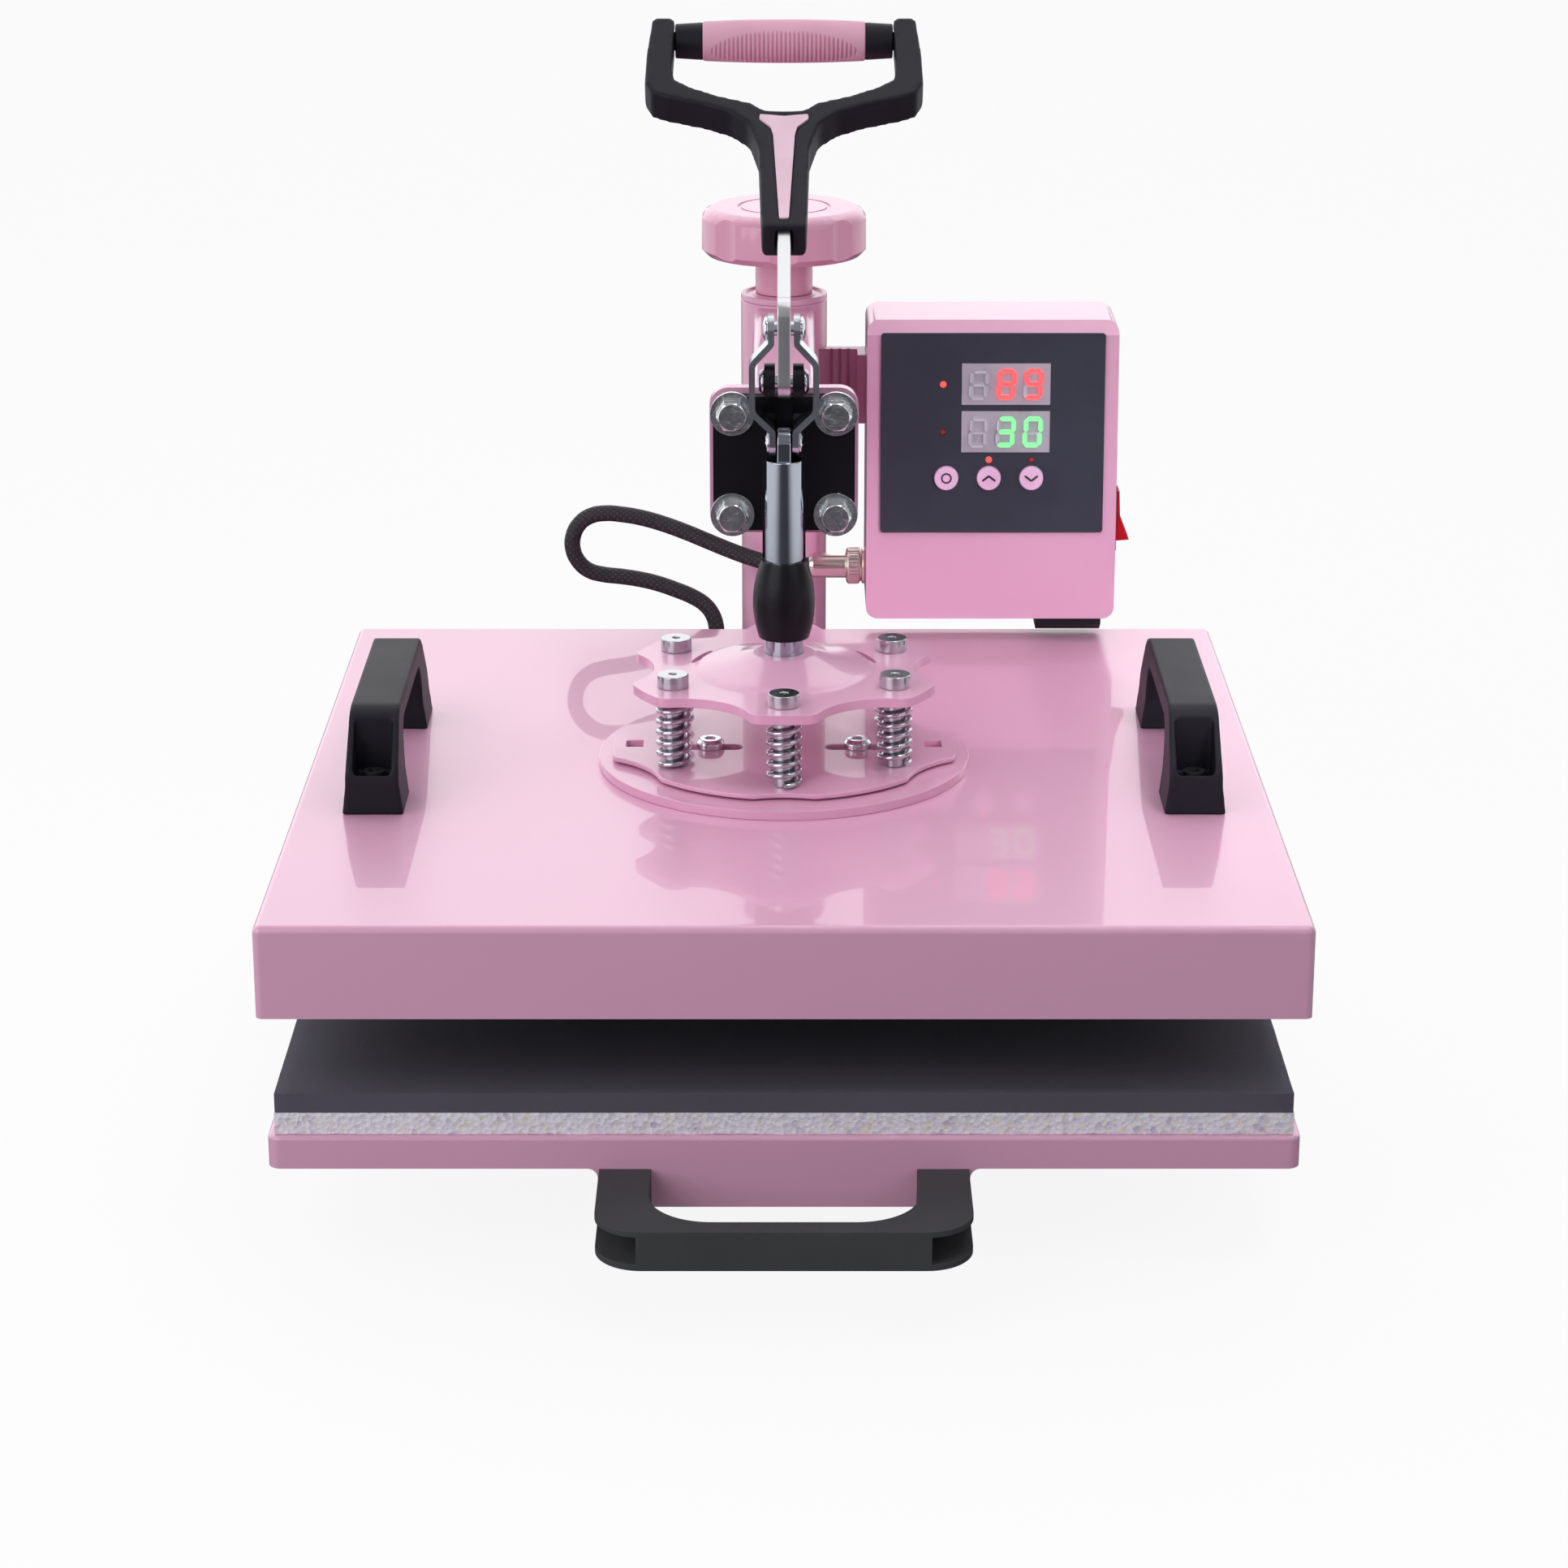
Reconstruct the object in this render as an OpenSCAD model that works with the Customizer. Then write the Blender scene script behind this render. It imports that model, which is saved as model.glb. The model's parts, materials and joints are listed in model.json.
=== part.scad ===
// Combo heat press: a square heated platen on a swinging toggle head over a pull-out lower tray.
// Millimetres, +Z up, the front faces -Y. The origin lies on the floor at the middle of the footprint.

/* [Platen] */
// Side of the square sheet cover of the platen
platen_w = 400; // [380:1:420]
// Height of the platen cover
cover_h = 37; // [32:0.5:44]
// Sheet thickness of the platen cover
cover_t = 1.5; // [1:0.1:2]
// Bend radius along the edges of the cover
cover_r = 3; // [2:0.5:5]
// Margin between the cover's side and the heated plate
heat_margin = 10; // [8:0.5:16]
// Thickness of the heated plate
heat_t = 14; // [12:0.5:16]
// Height of the heated plate below the cover's rim
heat_proud = 4; // [3:0.5:6]
// Thickness of the insulation mat under the cover
mat_t = 8; // [6:0.5:10]
// Diameter of the heating tube
element_d = 7; // [6:0.5:8]

/* [Lower tray] */
// Margin between the cover's side and the tray's side
tray_margin = 2; // [0:0.5:8]
// Height of the tray's top face above the floor
tray_top = 55; // [52:0.5:65]
// Height of the tray's folded lip
lip_h = 13; // [10:0.5:16]
// Sheet thickness of the tray
tray_t = 2; // [1.5:0.1:2.5]
// Depth of the front tab below the lip
tab_drop = 16; // [14:0.5:20]
// Margin between the tray's side and the felt layer
felt_margin = 2.5; // [1:0.5:8]
// Thickness of the felt layer
felt_t = 9; // [6:0.5:12]
// Margin between the felt layer and the silicone pad
pad_margin = 0.5; // [0:0.5:6]
// Thickness of the silicone pad
pad_t = 8; // [6:0.5:10]
// Open gap between the pad and the heated plate
press_gap = 28.6; // [28.5:0.1:34]

/* [Handles] */
// Length of each handle at its feet
handle_l = 142; // [130:1:150]
// Length of the flat top of each handle
handle_top_l = 102; // [90:1:110]
// Height of the two top handles
handle_h = 40; // [34:0.5:46]
// Width of the two top handles
handle_w = 25; // [22:0.5:28]
// Thickness of a handle's bar
handle_bar = 9; // [7:0.5:11]
// Distance of the top handles from the cover's side
handle_inset = 33; // [26:1:40]
// Reach of the front handle from the tray
front_reach = 57; // [50:1:62]
// Height of the front handle's section
front_w = 16; // [13:0.5:18]

/* [Suspension] */
// Diameter of the round plate on the cover
ring_d = 156; // [150:1:164]
// Thickness of the round plate
ring_t = 4; // [3:0.5:5]
// Thickness of the quick-change plate
change_t = 3; // [2.5:0.5:4]
// Radius of the circle of spring bolts
bolt_ring_r = 53; // [50:0.5:56]
// Free height between the quick-change plate and the star plate
spring_h = 30; // [26:0.5:34]
// Outer diameter of each spring
spring_d = 15; // [13:0.5:16]
// Wire diameter of each spring
wire_d = 2.4; // [2:0.1:2.8]
// Turns of each spring
turns = 6; // [5:1:7]
// Diameter of each bolt's shank
shank_d = 9; // [8:0.5:9.5]
// Thickness of the star plate
star_t = 4; // [3:0.5:5]
// Outer radius of the star plate's lobes
star_r = 67; // [65:0.5:70]

/* [Toggle] */
// Diameter of the ram rod
ram_d = 16; // [14:0.5:17]
// Height of the ram's shoulder above the platen
ram_top = 131; // [126:0.5:133]
// Height of the lever's pivot above the platen
pivot_rise = 163.6; // [162:0.2:166]
// Distance of the crank pin from the pivot
crank_r = 22; // [20:0.5:23]
// Thickness of the lever bar
bar_t = 6.8; // [6:0.2:7]
// Width of the lever bar
bar_w = 14; // [12:0.5:15]
// Thickness of each link strip
link_t = 2.5; // [2:0.1:3]
// Width of each link strip
link_w = 12; // [10:0.5:12]
// Diameter of the pins of the linkage
pin_d = 6; // [5:0.5:6.5]
// Outer diameter of the ram's guide barrel
barrel_d = 26; // [24:0.5:28]
// Side of the mount plate
plate_w = 62; // [60:1:66]
// Spacing of the four mount bolts
bolt_span = 43; // [40:0.5:44]

/* [Lever handle] */
// Lean of the open lever behind the vertical, in degrees
lean = 60; // [55:1:65]
// Length of bare bar between its bend and the yoke
bare_l = 45; // [40:1:50]
// Length of the yoke
yoke_l = 139; // [132:1:147]
// Width of the yoke
yoke_w = 120; // [114:1:126]
// Thickness of the yoke
yoke_t = 16.5; // [15:0.5:18]
// Width of the yoke's stem
stem_w = 21.5; // [20:0.5:24]
// Width of the yoke's two posts
post_w = 10; // [9:0.5:12]
// Diameter of the hand grip
grip_d = 17; // [16:0.2:18]
// Length of the hand grip's coloured sleeve
grip_l = 71; // [66:1:76]

/* [Column and base] */
// Distance of the column behind the platen's back
column_gap = 31; // [30:1:34]
// Outer diameter of the column sleeve
sleeve_d = 40; // [39:0.5:42]
// Inner diameter of the column sleeve
sleeve_bore = 32; // [31:0.5:33]
// Diameter of the fixed post
post_d = 28; // [26:0.5:29]
// Height of the column above the platen
column_rise = 154; // [150:1:158]
// Width of the swing arm
arm_w = 28; // [24:1:32]
// Height of the swing arm
arm_h = 50; // [44:1:54]
// Diameter of the pressure knob
knob_d = 77; // [70:1:78]
// Height of the pressure knob
knob_h = 22; // [18:1:26]
// Diameter of the lift screw
screw_d = 14; // [12:0.5:16]
// Height of the base rails
rail_h = 30; // [24:1:34]
// Width of the base rails
rail_w = 25; // [20:1:30]
// Distance of the base rails from the middle
rail_x = 120; // [110:1:130]
// Height of the rubber feet
foot_h = 12; // [8:0.5:14]

/* [Control box] */
// Width of the control box
box_w = 115; // [112:1:120]
// Height of the control box
box_h = 138; // [132:1:144]
// Depth of the control box
box_d = 56; // [50:1:60]
// Wall of the control box
box_wall = 2.5; // [2:0.5:3]
// Height of the box's upright chin
chin_h = 40; // [36:0.5:42]
// Gap between the box and the platen
box_lift = 11.4; // [10:0.2:14]
// Margin between the box's side and the black panel
panel_margin = 8; // [6:0.5:10]
// Diameter of the buttons
button_d = 11; // [10:0.5:12]
// Diameter of the heater cable
cable_d = 7.5; // [7:0.5:8]

/* [Hidden] */
$fn = 64;

pink = [0.91, 0.65, 0.78];
black = [0.2, 0.19, 0.22];
steel = [0.8, 0.81, 0.83];
run_fit = 0.05;
free_gap = 0.3;
seat = 0.05;
eps = 0.5;

// Sides and places in plan
heat_w = platen_w - 2 * heat_margin;
tray_w = platen_w - 2 * tray_margin;
felt_w = tray_w - 2 * felt_margin;
pad_w = felt_w - 2 * pad_margin;
handle_x = platen_w / 2 - handle_inset;
column_y = platen_w / 2 + column_gap;

// Heights from the floor
platen_z = tray_top + felt_t + pad_t + press_gap + heat_proud + cover_h;
cover_z = platen_z - cover_h;
heat_z = cover_z - heat_proud;
change_z = platen_z + ring_t;
spring_z = change_z + change_t;
star_z = spring_z + spring_h;
star_top = star_z + star_t;
dome_h = 7;
rail_z = foot_h;
rail_top = foot_h + rail_h;
base_back = column_y + knob_d / 2 + 1.5;
row_y = (tray_w / 2 + front_reach - base_back) / 2;
rail_front = 103 - tray_w / 2;

// Linkage
pivot_z = platen_z + pivot_rise;
crank_z = pivot_z + crank_r;
pin_z = platen_z + ram_top + 7;
tongue_t = 5.6;
tongue_r = 6.5;
ear_gap = free_gap + bar_t / 2;
ear_t = 4.4;
ear_r = 7.5;
ear_out = ear_gap + ear_t;
head_t = 2.2;
head_r = 5;
link_in = bar_t / 2 + 0.6;
link_low = tongue_t / 2 + 0.7;
link_wide = ear_out + head_t + 1.6;
plate_y = 12;
plate_t = 6;
plate_mid = platen_z + 126;
barrel_z = platen_z + 55;
barrel_h = 33;
hex_d = 11.6 / cos(30);

// Column and knob
sleeve_z = rail_top + 28;
cap_t = 3;
sleeve_top = platen_z + column_rise - cap_t;
knob_z = platen_z + column_rise + free_gap;
stem_h = 18;
stem_d = 26.5;
bush_h = 34;
flange_t = 4;
post_top = sleeve_top - 30;
arm_top = sleeve_top - 1;
arm_wall = 3;
arm_y = plate_y + 2 * plate_t;

// Lever frame
bend_z = pivot_z + 28;
grip_v = bare_l + yoke_l - 6;
crotch_v = bare_l + 75;
post_lean = 2.5;
collar_l = yoke_w / 2 - post_lean - post_w - grip_l / 2;

// Control box
box_x = 38;
box_mid = box_x + box_w / 2;
box_y = platen_w / 2 - 24;
box_z = platen_z + box_lift;
back_t = 6;
box_r = 5.5;
panel_lean = 8;
face_h = box_h - chin_h - 6;
panel_w = box_w - 2 * panel_margin;
panel_h = face_h;
tilt = atan(panel_lean / face_h);
panel_t = 1.5;
panel_v = 1.5;
button_v = panel_v + panel_h / 2 - 20.5;
buttons_u = [-21, -1.5, 18];
button_play = 0.2;
button_proud = 2;
lamps = [[-22.7, 22.5], [-22.7, 0.6], [-1.5, -12.2], [18, -12.2]];
windows = [[6, 22.7], [6, 0.8]];
window_w = 40.5;
window_h = 19;
board_gap = 9;
switch_y = box_y + 29;
switch_z = box_z + 42;
rocker_w = 11;
rocker_l = 24;
rocker_tilt = -12;
rocker_pin = 2;
plug_y = box_y + 22;
plug_z = box_z + 19.6;
gland_x = -32;
gland_y = platen_w / 2 + 12;
gland_z = platen_z - 18;

// Route of the heater cable: x, the distance behind the platen's back and the height above the platen
cable_route = [[11.6, -2, 31], [4, -2, 31], [-6, -2, 32], [-16, -1, 34.5], [-26, 0, 38],
    [-36, 1, 42], [-46, 2, 46], [-56, 3, 49.5], [-66, 4, 52.2], [-75, 5, 53.6], [-84, 6, 54],
    [-90.6, 7, 52.5], [-95.9, 8, 48.5], [-99, 8.5, 42.5], [-99.3, 9, 35.8], [-96.7, 9.5, 29.6],
    [-91.8, 10, 25.1], [-85.4, 10.5, 23.1], [-76.5, 11, 21.9], [-68, 11.5, 20.4], [-60, 12, 18.3],
    [-51.5, 12, 15.3], [-42.4, 12, 11.3], [-37.3, 12, 7.7], [-33.7, 12, 2.6], [-32.1, 12, -3.4],
    [-32, 12, -6.5], [-32, 12, -9.3]];

// Row frame: the platen's middle stands a little in front of the middle of the footprint
module placed() translate([0, row_y, 0]) children();

// Rounded rectangle
module rounded(w, h, r) {
    square([w - 2 * r, h], center = true);
    square([w, h - 2 * r], center = true);
    for (sx = [-1, 1], sy = [-1, 1]) translate([sx * (w / 2 - r), sy * (h / 2 - r)]) circle(r);
}

// Solid with its outline in the YZ plane, centred on x
module along_x(x, t) translate([x - t / 2, 0, 0]) rotate([90, 0, 90]) linear_extrude(t) children();

// Axis along X
module rod_x(x0, x1, d) translate([x0, 0, 0]) rotate([0, 90, 0]) cylinder(d = d, h = x1 - x0);

// Frame of the leaning lever: x across, y along the bar, z out of its front
module lever_frame() translate([0, 0, bend_z]) rotate([90 - lean, 0, 0]) children();

// Frame of the sloping panel: x across, y up the slope, z out of its face
module panel_frame()
    translate([box_mid, box_y, box_z + chin_h]) rotate([90 - tilt, 0, 0]) children();

// Places round the circle of spring bolts
module at_bolts() for (a = [30 : 60 : 330]) rotate(a) translate([bolt_ring_r, 0, 0]) children();

// Places of the mount bolts, looking along +Y
module at_mount_bolts()
    for (sx = [-1, 1], sz = [-1, 1])
        translate([sx * bolt_span / 2, 0, plate_mid + sz * bolt_span / 2])
            rotate([90, 0, 0]) children();

// Moulded bridge handle: sloped legs, rounded corners and a screw pocket in each leg
// The outline lies across x with its feet on y = 0
module handle_outline(h, l, top_l, bar, leg) {
    r = bar * 1.4;
    offset(r = r) offset(delta = -r)
        polygon([[-l / 2, -r], [l / 2, -r], [l / 2, h * 0.45], [top_l / 2, h], [-top_l / 2, h],
            [-l / 2, h * 0.45]]);
}

module bridge_handle(h, l, top_l, w, bar, leg) {
    pocket_w = w * 0.62;
    inner_r = bar;
    difference() {
        linear_extrude(w, center = true) intersection() {
            difference() {
                handle_outline(h, l, top_l, bar, leg);
                offset(r = inner_r) offset(delta = -inner_r)
                    polygon([[-l / 2 + leg, -2 * h], [l / 2 - leg, -2 * h],
                        [top_l / 2 - leg * 0.55, h - bar], [leg * 0.55 - top_l / 2, h - bar]]);
            }
            translate([-l, 0]) square([2 * l, 2 * h]);
        }
        for (s = [-1, 1]) {
            translate([s * (l / 2 - leg / 2 + 1), h * 0.32 + h, 0])
                cube([leg - 4, 2 * h, pocket_w], center = true);
            translate([s * (l / 2 - leg / 2), -eps, 0])
                rotate([-90, 0, 0]) cylinder(d = handle_screw_d + 2 * seat, h = h);
        }
    }
}

handle_leg = 20;
handle_screw_d = 5;
handle_screw_x = handle_l / 2 - handle_leg / 2;

// Screw of a bridge handle, with its head on the pocket's floor
module handle_screw(floor_h, grip) {
    translate([0, 0, -grip]) cylinder(d = handle_screw_d, h = grip + floor_h + eps);
    translate([0, 0, floor_h]) difference() {
        cylinder(d = 9, h = 3.2);
        translate([0, 0, 1.6]) cylinder(d = 4.5, h = 2, $fn = 6);
    }
}

// Base

module base_rails() color(pink) placed()
    for (s = [-1, 1])
        translate([s * rail_x, (rail_front + base_back) / 2, rail_z]) rotate([90, 0, 0])
            linear_extrude(base_back - rail_front, center = true) difference() {
                translate([0, rail_h / 2]) rounded(rail_w, rail_h, 3);
                translate([0, rail_h / 2]) rounded(rail_w - 5, rail_h - 5, 1);
            }

cross_l = 2 * rail_x - rail_w;
rear_cross_w = 60;

module base_crossmembers() color(pink) placed() {
    translate([0, rail_front + rail_w / 2, rail_z + rail_h / 2])
        cube([cross_l, rail_w, rail_h], center = true);
    translate([0, column_y, rail_z + rail_h / 2])
        cube([cross_l, rear_cross_w, rail_h], center = true);
}

module column_post() color(steel) placed()
    translate([0, column_y, rail_top]) difference() {
        rotate_extrude() polygon([[0, 0], [sleeve_d / 2 + 8, 0], [sleeve_d / 2 + 8, 5],
            [sleeve_d / 2, 9], [sleeve_d / 2, sleeve_z - flange_t - rail_top - seat],
            [post_d / 2, sleeve_z - flange_t - rail_top - seat], [post_d / 2, post_top - rail_top],
            [0, post_top - rail_top]]);
        translate([0, 0, 40]) cylinder(d = screw_d + 2 * run_fit, h = post_top);
    }

module rubber_feet() color(black) placed()
    for (s = [-1, 1], y = [rail_front + 20, base_back - 20])
        translate([s * rail_x, y, 0])
            rotate_extrude() polygon([[0, 0], [13, 0], [15, 2], [12, foot_h], [0, foot_h]]);

// Drawer slides: a lipped channel on each rail and an inverted T under the tray

guide_w = 22;
guide_wall = 2;
guide_h = tray_top - tray_t - rail_top - 2;
neck_w = 8;
guide_back = tray_w / 2;

module drawer_guides() color(steel) placed()
    for (s = [-1, 1])
        translate([s * rail_x, guide_back, rail_top]) rotate([90, 0, 0])
            linear_extrude(guide_back - rail_front) difference() {
                translate([-guide_w / 2, 0]) square([guide_w, guide_h]);
                translate([guide_wall - guide_w / 2, guide_wall])
                    square([guide_w - 2 * guide_wall, guide_h - 2 * guide_wall]);
                translate([-neck_w / 2 - free_gap, guide_wall])
                    square([neck_w + 2 * free_gap, guide_h]);
            }

module drawer_runners() color(steel) placed()
    for (s = [-1, 1])
        translate([s * rail_x, guide_back - 8, rail_top]) rotate([90, 0, 0])
            linear_extrude(tray_w - 16) {
                translate([guide_wall + free_gap - guide_w / 2, guide_wall + free_gap])
                    square([guide_w - 2 * guide_wall - 2 * free_gap,
                        guide_h - 2 * guide_wall - 2 * free_gap]);
                translate([-neck_w / 2, guide_wall + free_gap])
                    square([neck_w, tray_top - tray_t - rail_top - guide_wall - free_gap]);
            }

tab_w = handle_l + 1;
tab_z = tray_top - lip_h - tab_drop;
front_handle_z = tab_z + front_w / 2;
fillet = 4;

// Pressed sheet tray: flat top, front and side lips, and the handle's tab below the front lip
module lower_tray() color(pink) placed() difference() {
    union() {
        difference() {
            translate([0, 0, tray_top - lip_h]) linear_extrude(lip_h) rounded(tray_w, tray_w, 5);
            translate([0, tray_t, tray_top - lip_h - tray_t]) linear_extrude(lip_h)
                rounded(tray_w - 2 * tray_t, tray_w + 1, 3);
        }
        translate([0, tray_t - tray_w / 2, 0]) rotate([90, 0, 0]) linear_extrude(tray_t) {
            translate([-tab_w / 2, tab_z]) square([tab_w, tab_drop + eps]);
            for (s = [-1, 1]) translate([s * tab_w / 2, tray_top - lip_h])
                difference() {
                    translate([-fillet, -fillet]) square([2 * fillet, fillet + eps]);
                    translate([s * fillet, -fillet]) circle(fillet);
                }
        }
    }
    for (s = [-1, 1])
        translate([s * handle_screw_x, -tray_w / 2 - eps, front_handle_z]) rotate([-90, 0, 0])
            cylinder(d = handle_screw_d + 2 * seat, h = tray_t + 2 * eps);
}

module felt_layer() color([0.78, 0.75, 0.79]) placed()
    translate([0, 0, tray_top]) linear_extrude(felt_t) rounded(felt_w, felt_w, 1.5);

module silicone_pad() color([0.25, 0.23, 0.28]) placed()
    translate([0, 0, tray_top + felt_t]) linear_extrude(pad_t) rounded(pad_w, pad_w, 1.5);

module front_handle_frame()
    translate([0, -tray_w / 2, front_handle_z]) rotate([0, 0, 180]) children();

front_r = 18;
front_in_r = 24;
pocket_y = 22;

// Front handle: a flat U with round corners and an open screw pocket in each outer corner
module drawer_handle() color(black) placed() front_handle_frame() difference() {
    linear_extrude(front_w, center = true) difference() {
        union() {
            translate([0, (front_reach - front_r) / 2])
                square([handle_l, front_reach - front_r], center = true);
            translate([0, front_reach / 2]) rounded(handle_l, front_reach, front_r);
        }
        translate([0, (front_reach - handle_bar) / 2 - front_r])
            rounded(handle_l - 2 * handle_leg, front_reach - handle_bar + 2 * front_r, front_in_r);
    }
    for (s = [-1, 1]) {
        translate([s * (handle_l / 2 - 3), pocket_y + front_reach / 2, 0])
            cube([handle_leg + 6, front_reach, front_w - 5], center = true);
        translate([s * handle_screw_x, -eps, 0]) rotate([-90, 0, 0])
            cylinder(d = handle_screw_d + 2 * seat, h = front_reach);
    }
}

module drawer_handle_screws() color(steel) placed()
    front_handle_frame() for (s = [-1, 1])
        translate([s * handle_screw_x, 0, 0]) rotate([-90, 0, 0])
            handle_screw(pocket_y, tray_t + 2);

// Column

module lift_bushes() color([0.75, 0.6, 0.35]) placed()
    translate([0, column_y, 0])
        for (z = [sleeve_z, sleeve_top - 40 - bush_h]) difference() {
            union() {
                translate([0, 0, z]) cylinder(d = sleeve_bore - 2 * run_fit, h = bush_h);
                if (z == sleeve_z)
                    translate([0, 0, z - flange_t]) cylinder(d = sleeve_d, h = flange_t);
            }
            translate([0, 0, z - 2 * flange_t])
                cylinder(d = post_d + 2 * run_fit, h = bush_h + 4 * flange_t);
        }

module column_sleeve() color(pink) placed()
    translate([0, column_y, sleeve_z + seat]) difference() {
        cylinder(d = sleeve_d, h = sleeve_top - sleeve_z - seat);
        translate([0, 0, -eps]) cylinder(d = sleeve_bore, h = sleeve_top);
    }

module column_cap() color(pink) placed()
    translate([0, column_y, sleeve_top]) difference() {
        union() {
            cylinder(d = sleeve_d, h = cap_t);
            translate([0, 0, -12]) cylinder(d = sleeve_bore - 2 * seat, h = 12 + eps);
        }
        translate([0, 0, -20]) cylinder(d = screw_d + 2 * run_fit, h = 40);
        translate([0, 0, cap_t - 1]) difference() {
            cylinder(d = sleeve_d - 4, h = 2);
            cylinder(d = stem_d + 3, h = 2);
        }
    }

module swing_arm() color(pink) placed()
    difference() {
        translate([0, arm_y, arm_top - arm_h / 2]) rotate([-90, 0, 0])
            linear_extrude(column_y - arm_y) difference() {
                rounded(arm_w, arm_h, 4);
                rounded(arm_w - 2 * arm_wall, arm_h - 2 * arm_wall, 1.5);
            }
        translate([0, column_y, sleeve_z]) cylinder(d = sleeve_d, h = column_rise * 2);
    }

module mount_plate() color(pink) placed()
    translate([0, plate_y + plate_t, 0]) difference() {
        translate([0, plate_t, plate_mid]) rotate([90, 0, 0])
            linear_extrude(plate_t) rounded(plate_w, plate_w, 8);
        at_mount_bolts() cylinder(d = 8 + 2 * seat, h = 40, center = true);
    }

// Cast toggle body: plate, guide barrel on its neck, and the two pivot ears
module toggle_body() color(black) placed() difference() {
    union() {
        translate([0, plate_y + plate_t, plate_mid]) rotate([90, 0, 0])
            linear_extrude(plate_t) rounded(plate_w - 3, plate_w - 5, 6);
        translate([0, 0, barrel_z]) rotate_extrude() polygon(concat([[0, 0]],
            [for (f = [0 : 0.1 : 1]) [barrel_d / 2 - 12 * pow(f - 0.45, 2), f * barrel_h]],
            [[0, barrel_h]]));
        along_x(0, 18) polygon([[0, barrel_z + 4], [plate_y, barrel_z + 6],
            [plate_y + plate_t, barrel_z + 16], [plate_y + plate_t, plate_mid],
            [plate_y, plate_mid], [ram_d / 2 + 1.5, barrel_z + barrel_h + 6],
            [ram_d / 2 + 1.5, barrel_z + barrel_h - 2], [0, barrel_z + barrel_h - 2]]);
        for (s = [-1, 1]) along_x(s * (ear_gap + ear_t / 2), ear_t) {
            translate([0, pivot_z]) circle(ear_r);
            polygon([[plate_y + plate_t, plate_mid], [plate_y + plate_t, pivot_z - 7],
                [ear_r * 0.6, pivot_z + ear_r * 0.8], [-ear_r * 0.8, pivot_z - ear_r * 0.6],
                [7, pivot_z - 15], [plate_y - 1.5, plate_mid]]);
        }
    }
    translate([0, 0, barrel_z - eps]) cylinder(d = ram_d + 2 * run_fit, h = barrel_h + 40);
    translate([0, 0, pivot_z]) rod_x(-40, 40, pin_d + 2 * seat);
    at_mount_bolts() cylinder(d = 8 + 2 * seat, h = 60, center = true);
}

module toggle_bolts() color(steel) placed()
    translate([0, plate_y, 0]) at_mount_bolts() {
        cylinder(d = 18.4, h = 1.8);
        intersection() {
            translate([0, 0, 1.7]) cylinder(d = hex_d, h = 6.6, $fn = 6);
            translate([0, 0, 1.7]) rotate_extrude() polygon([[0, 0], [hex_d / 2 + 1, 0],
                [hex_d / 2 + 1, 4.6], [hex_d / 2 - 1.2, 6.6], [0, 6.6]]);
        }
        translate([0, 0, -2 * plate_t]) cylinder(d = 8, h = 2 * plate_t + 1);
    }

module lever_pivot_pin() color(steel) placed() translate([0, 0, pivot_z]) {
    rod_x(-ear_out - 1, ear_out + 1, pin_d);
    for (s = [-1, 1])
        rotate([0, s * 90, 0]) translate([0, 0, ear_out])
            rotate_extrude() polygon([[0, 0], [head_r, 0], [head_r, head_t * 0.5],
                [head_r * 0.7, head_t], [0, head_t]]);
}

// Control box

module box_profile(inset) {
    lift = box_z + inset;
    polygon([[box_y + inset, lift], [box_y + inset, box_z + chin_h],
        [box_y + panel_lean + inset, box_z + box_h - 6],
        [box_y + panel_lean + 6 + inset / 2, box_z + box_h - inset],
        [box_y + box_d - back_t + (inset > 0 ? eps : 0), box_z + box_h - inset],
        [box_y + box_d - back_t + (inset > 0 ? eps : 0), lift]]);
}

// Rounded outline of the box, seen from the front
module box_prism(inset) translate([box_mid, box_y - box_d, box_z + box_h / 2]) rotate([-90, 0, 0])
    linear_extrude(3 * box_d) rounded(box_w - 2 * inset, box_h - 2 * inset, box_r - inset);

module box_front() color(pink) placed() difference() {
    intersection() {
        along_x(box_mid, box_w) box_profile(0);
        box_prism(0);
    }
    intersection() {
        along_x(box_mid, box_w) box_profile(box_wall);
        box_prism(box_wall);
    }
    panel_frame() translate([0, panel_v + panel_h / 2, 0])
        cube([panel_w - 16, panel_h - 14, 4 * box_wall], center = true);
    translate([0, plug_y, plug_z]) rod_x(box_x - 2, box_x + 8, 11 + 2 * seat);
    translate([box_x + box_w, switch_y, switch_z])
        cube([4 * box_wall, rocker_w + 4.2, rocker_l + 4.2], center = true);
    translate([gland_mains_x, gland_mains_y, box_z])
        cylinder(d = 10 + 2 * seat, h = 4 * box_wall, center = true);
}

module box_back() color(pink) placed() difference() {
    intersection() {
        translate([box_x, box_y + box_d - back_t, box_z]) cube([box_w, back_t, box_h]);
        box_prism(0);
    }
    intersection() {
        translate([box_x, box_y + box_d - back_t - eps, box_z])
            cube([box_w, back_t - box_wall + eps, box_h]);
        box_prism(box_wall);
    }
    for (i = [0 : 7]) translate([box_mid - 28 + 8 * i, box_y + box_d, box_z + box_h * 0.65])
        cube([3, 3 * back_t, 34], center = true);
}

module control_panel() color(black) placed()
    panel_frame() difference() {
        translate([0, panel_v + panel_h / 2, 0]) linear_extrude(panel_t)
            rounded(panel_w, panel_h, 1.5);
        for (u = buttons_u) translate([u, button_v, -eps])
            cylinder(d = button_d + 2 * button_play, h = 3 * panel_t);
        for (w = windows) translate([w[0], panel_v + panel_h / 2 + w[1], panel_t])
            cube([window_w + 2 * seat, window_h + 2 * seat, panel_t], center = true);
        for (p = lamps) translate([p[0], panel_v + panel_h / 2 + p[1], -eps])
            cylinder(d = 3 + 2 * seat, h = 3 * panel_t);
    }

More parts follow.
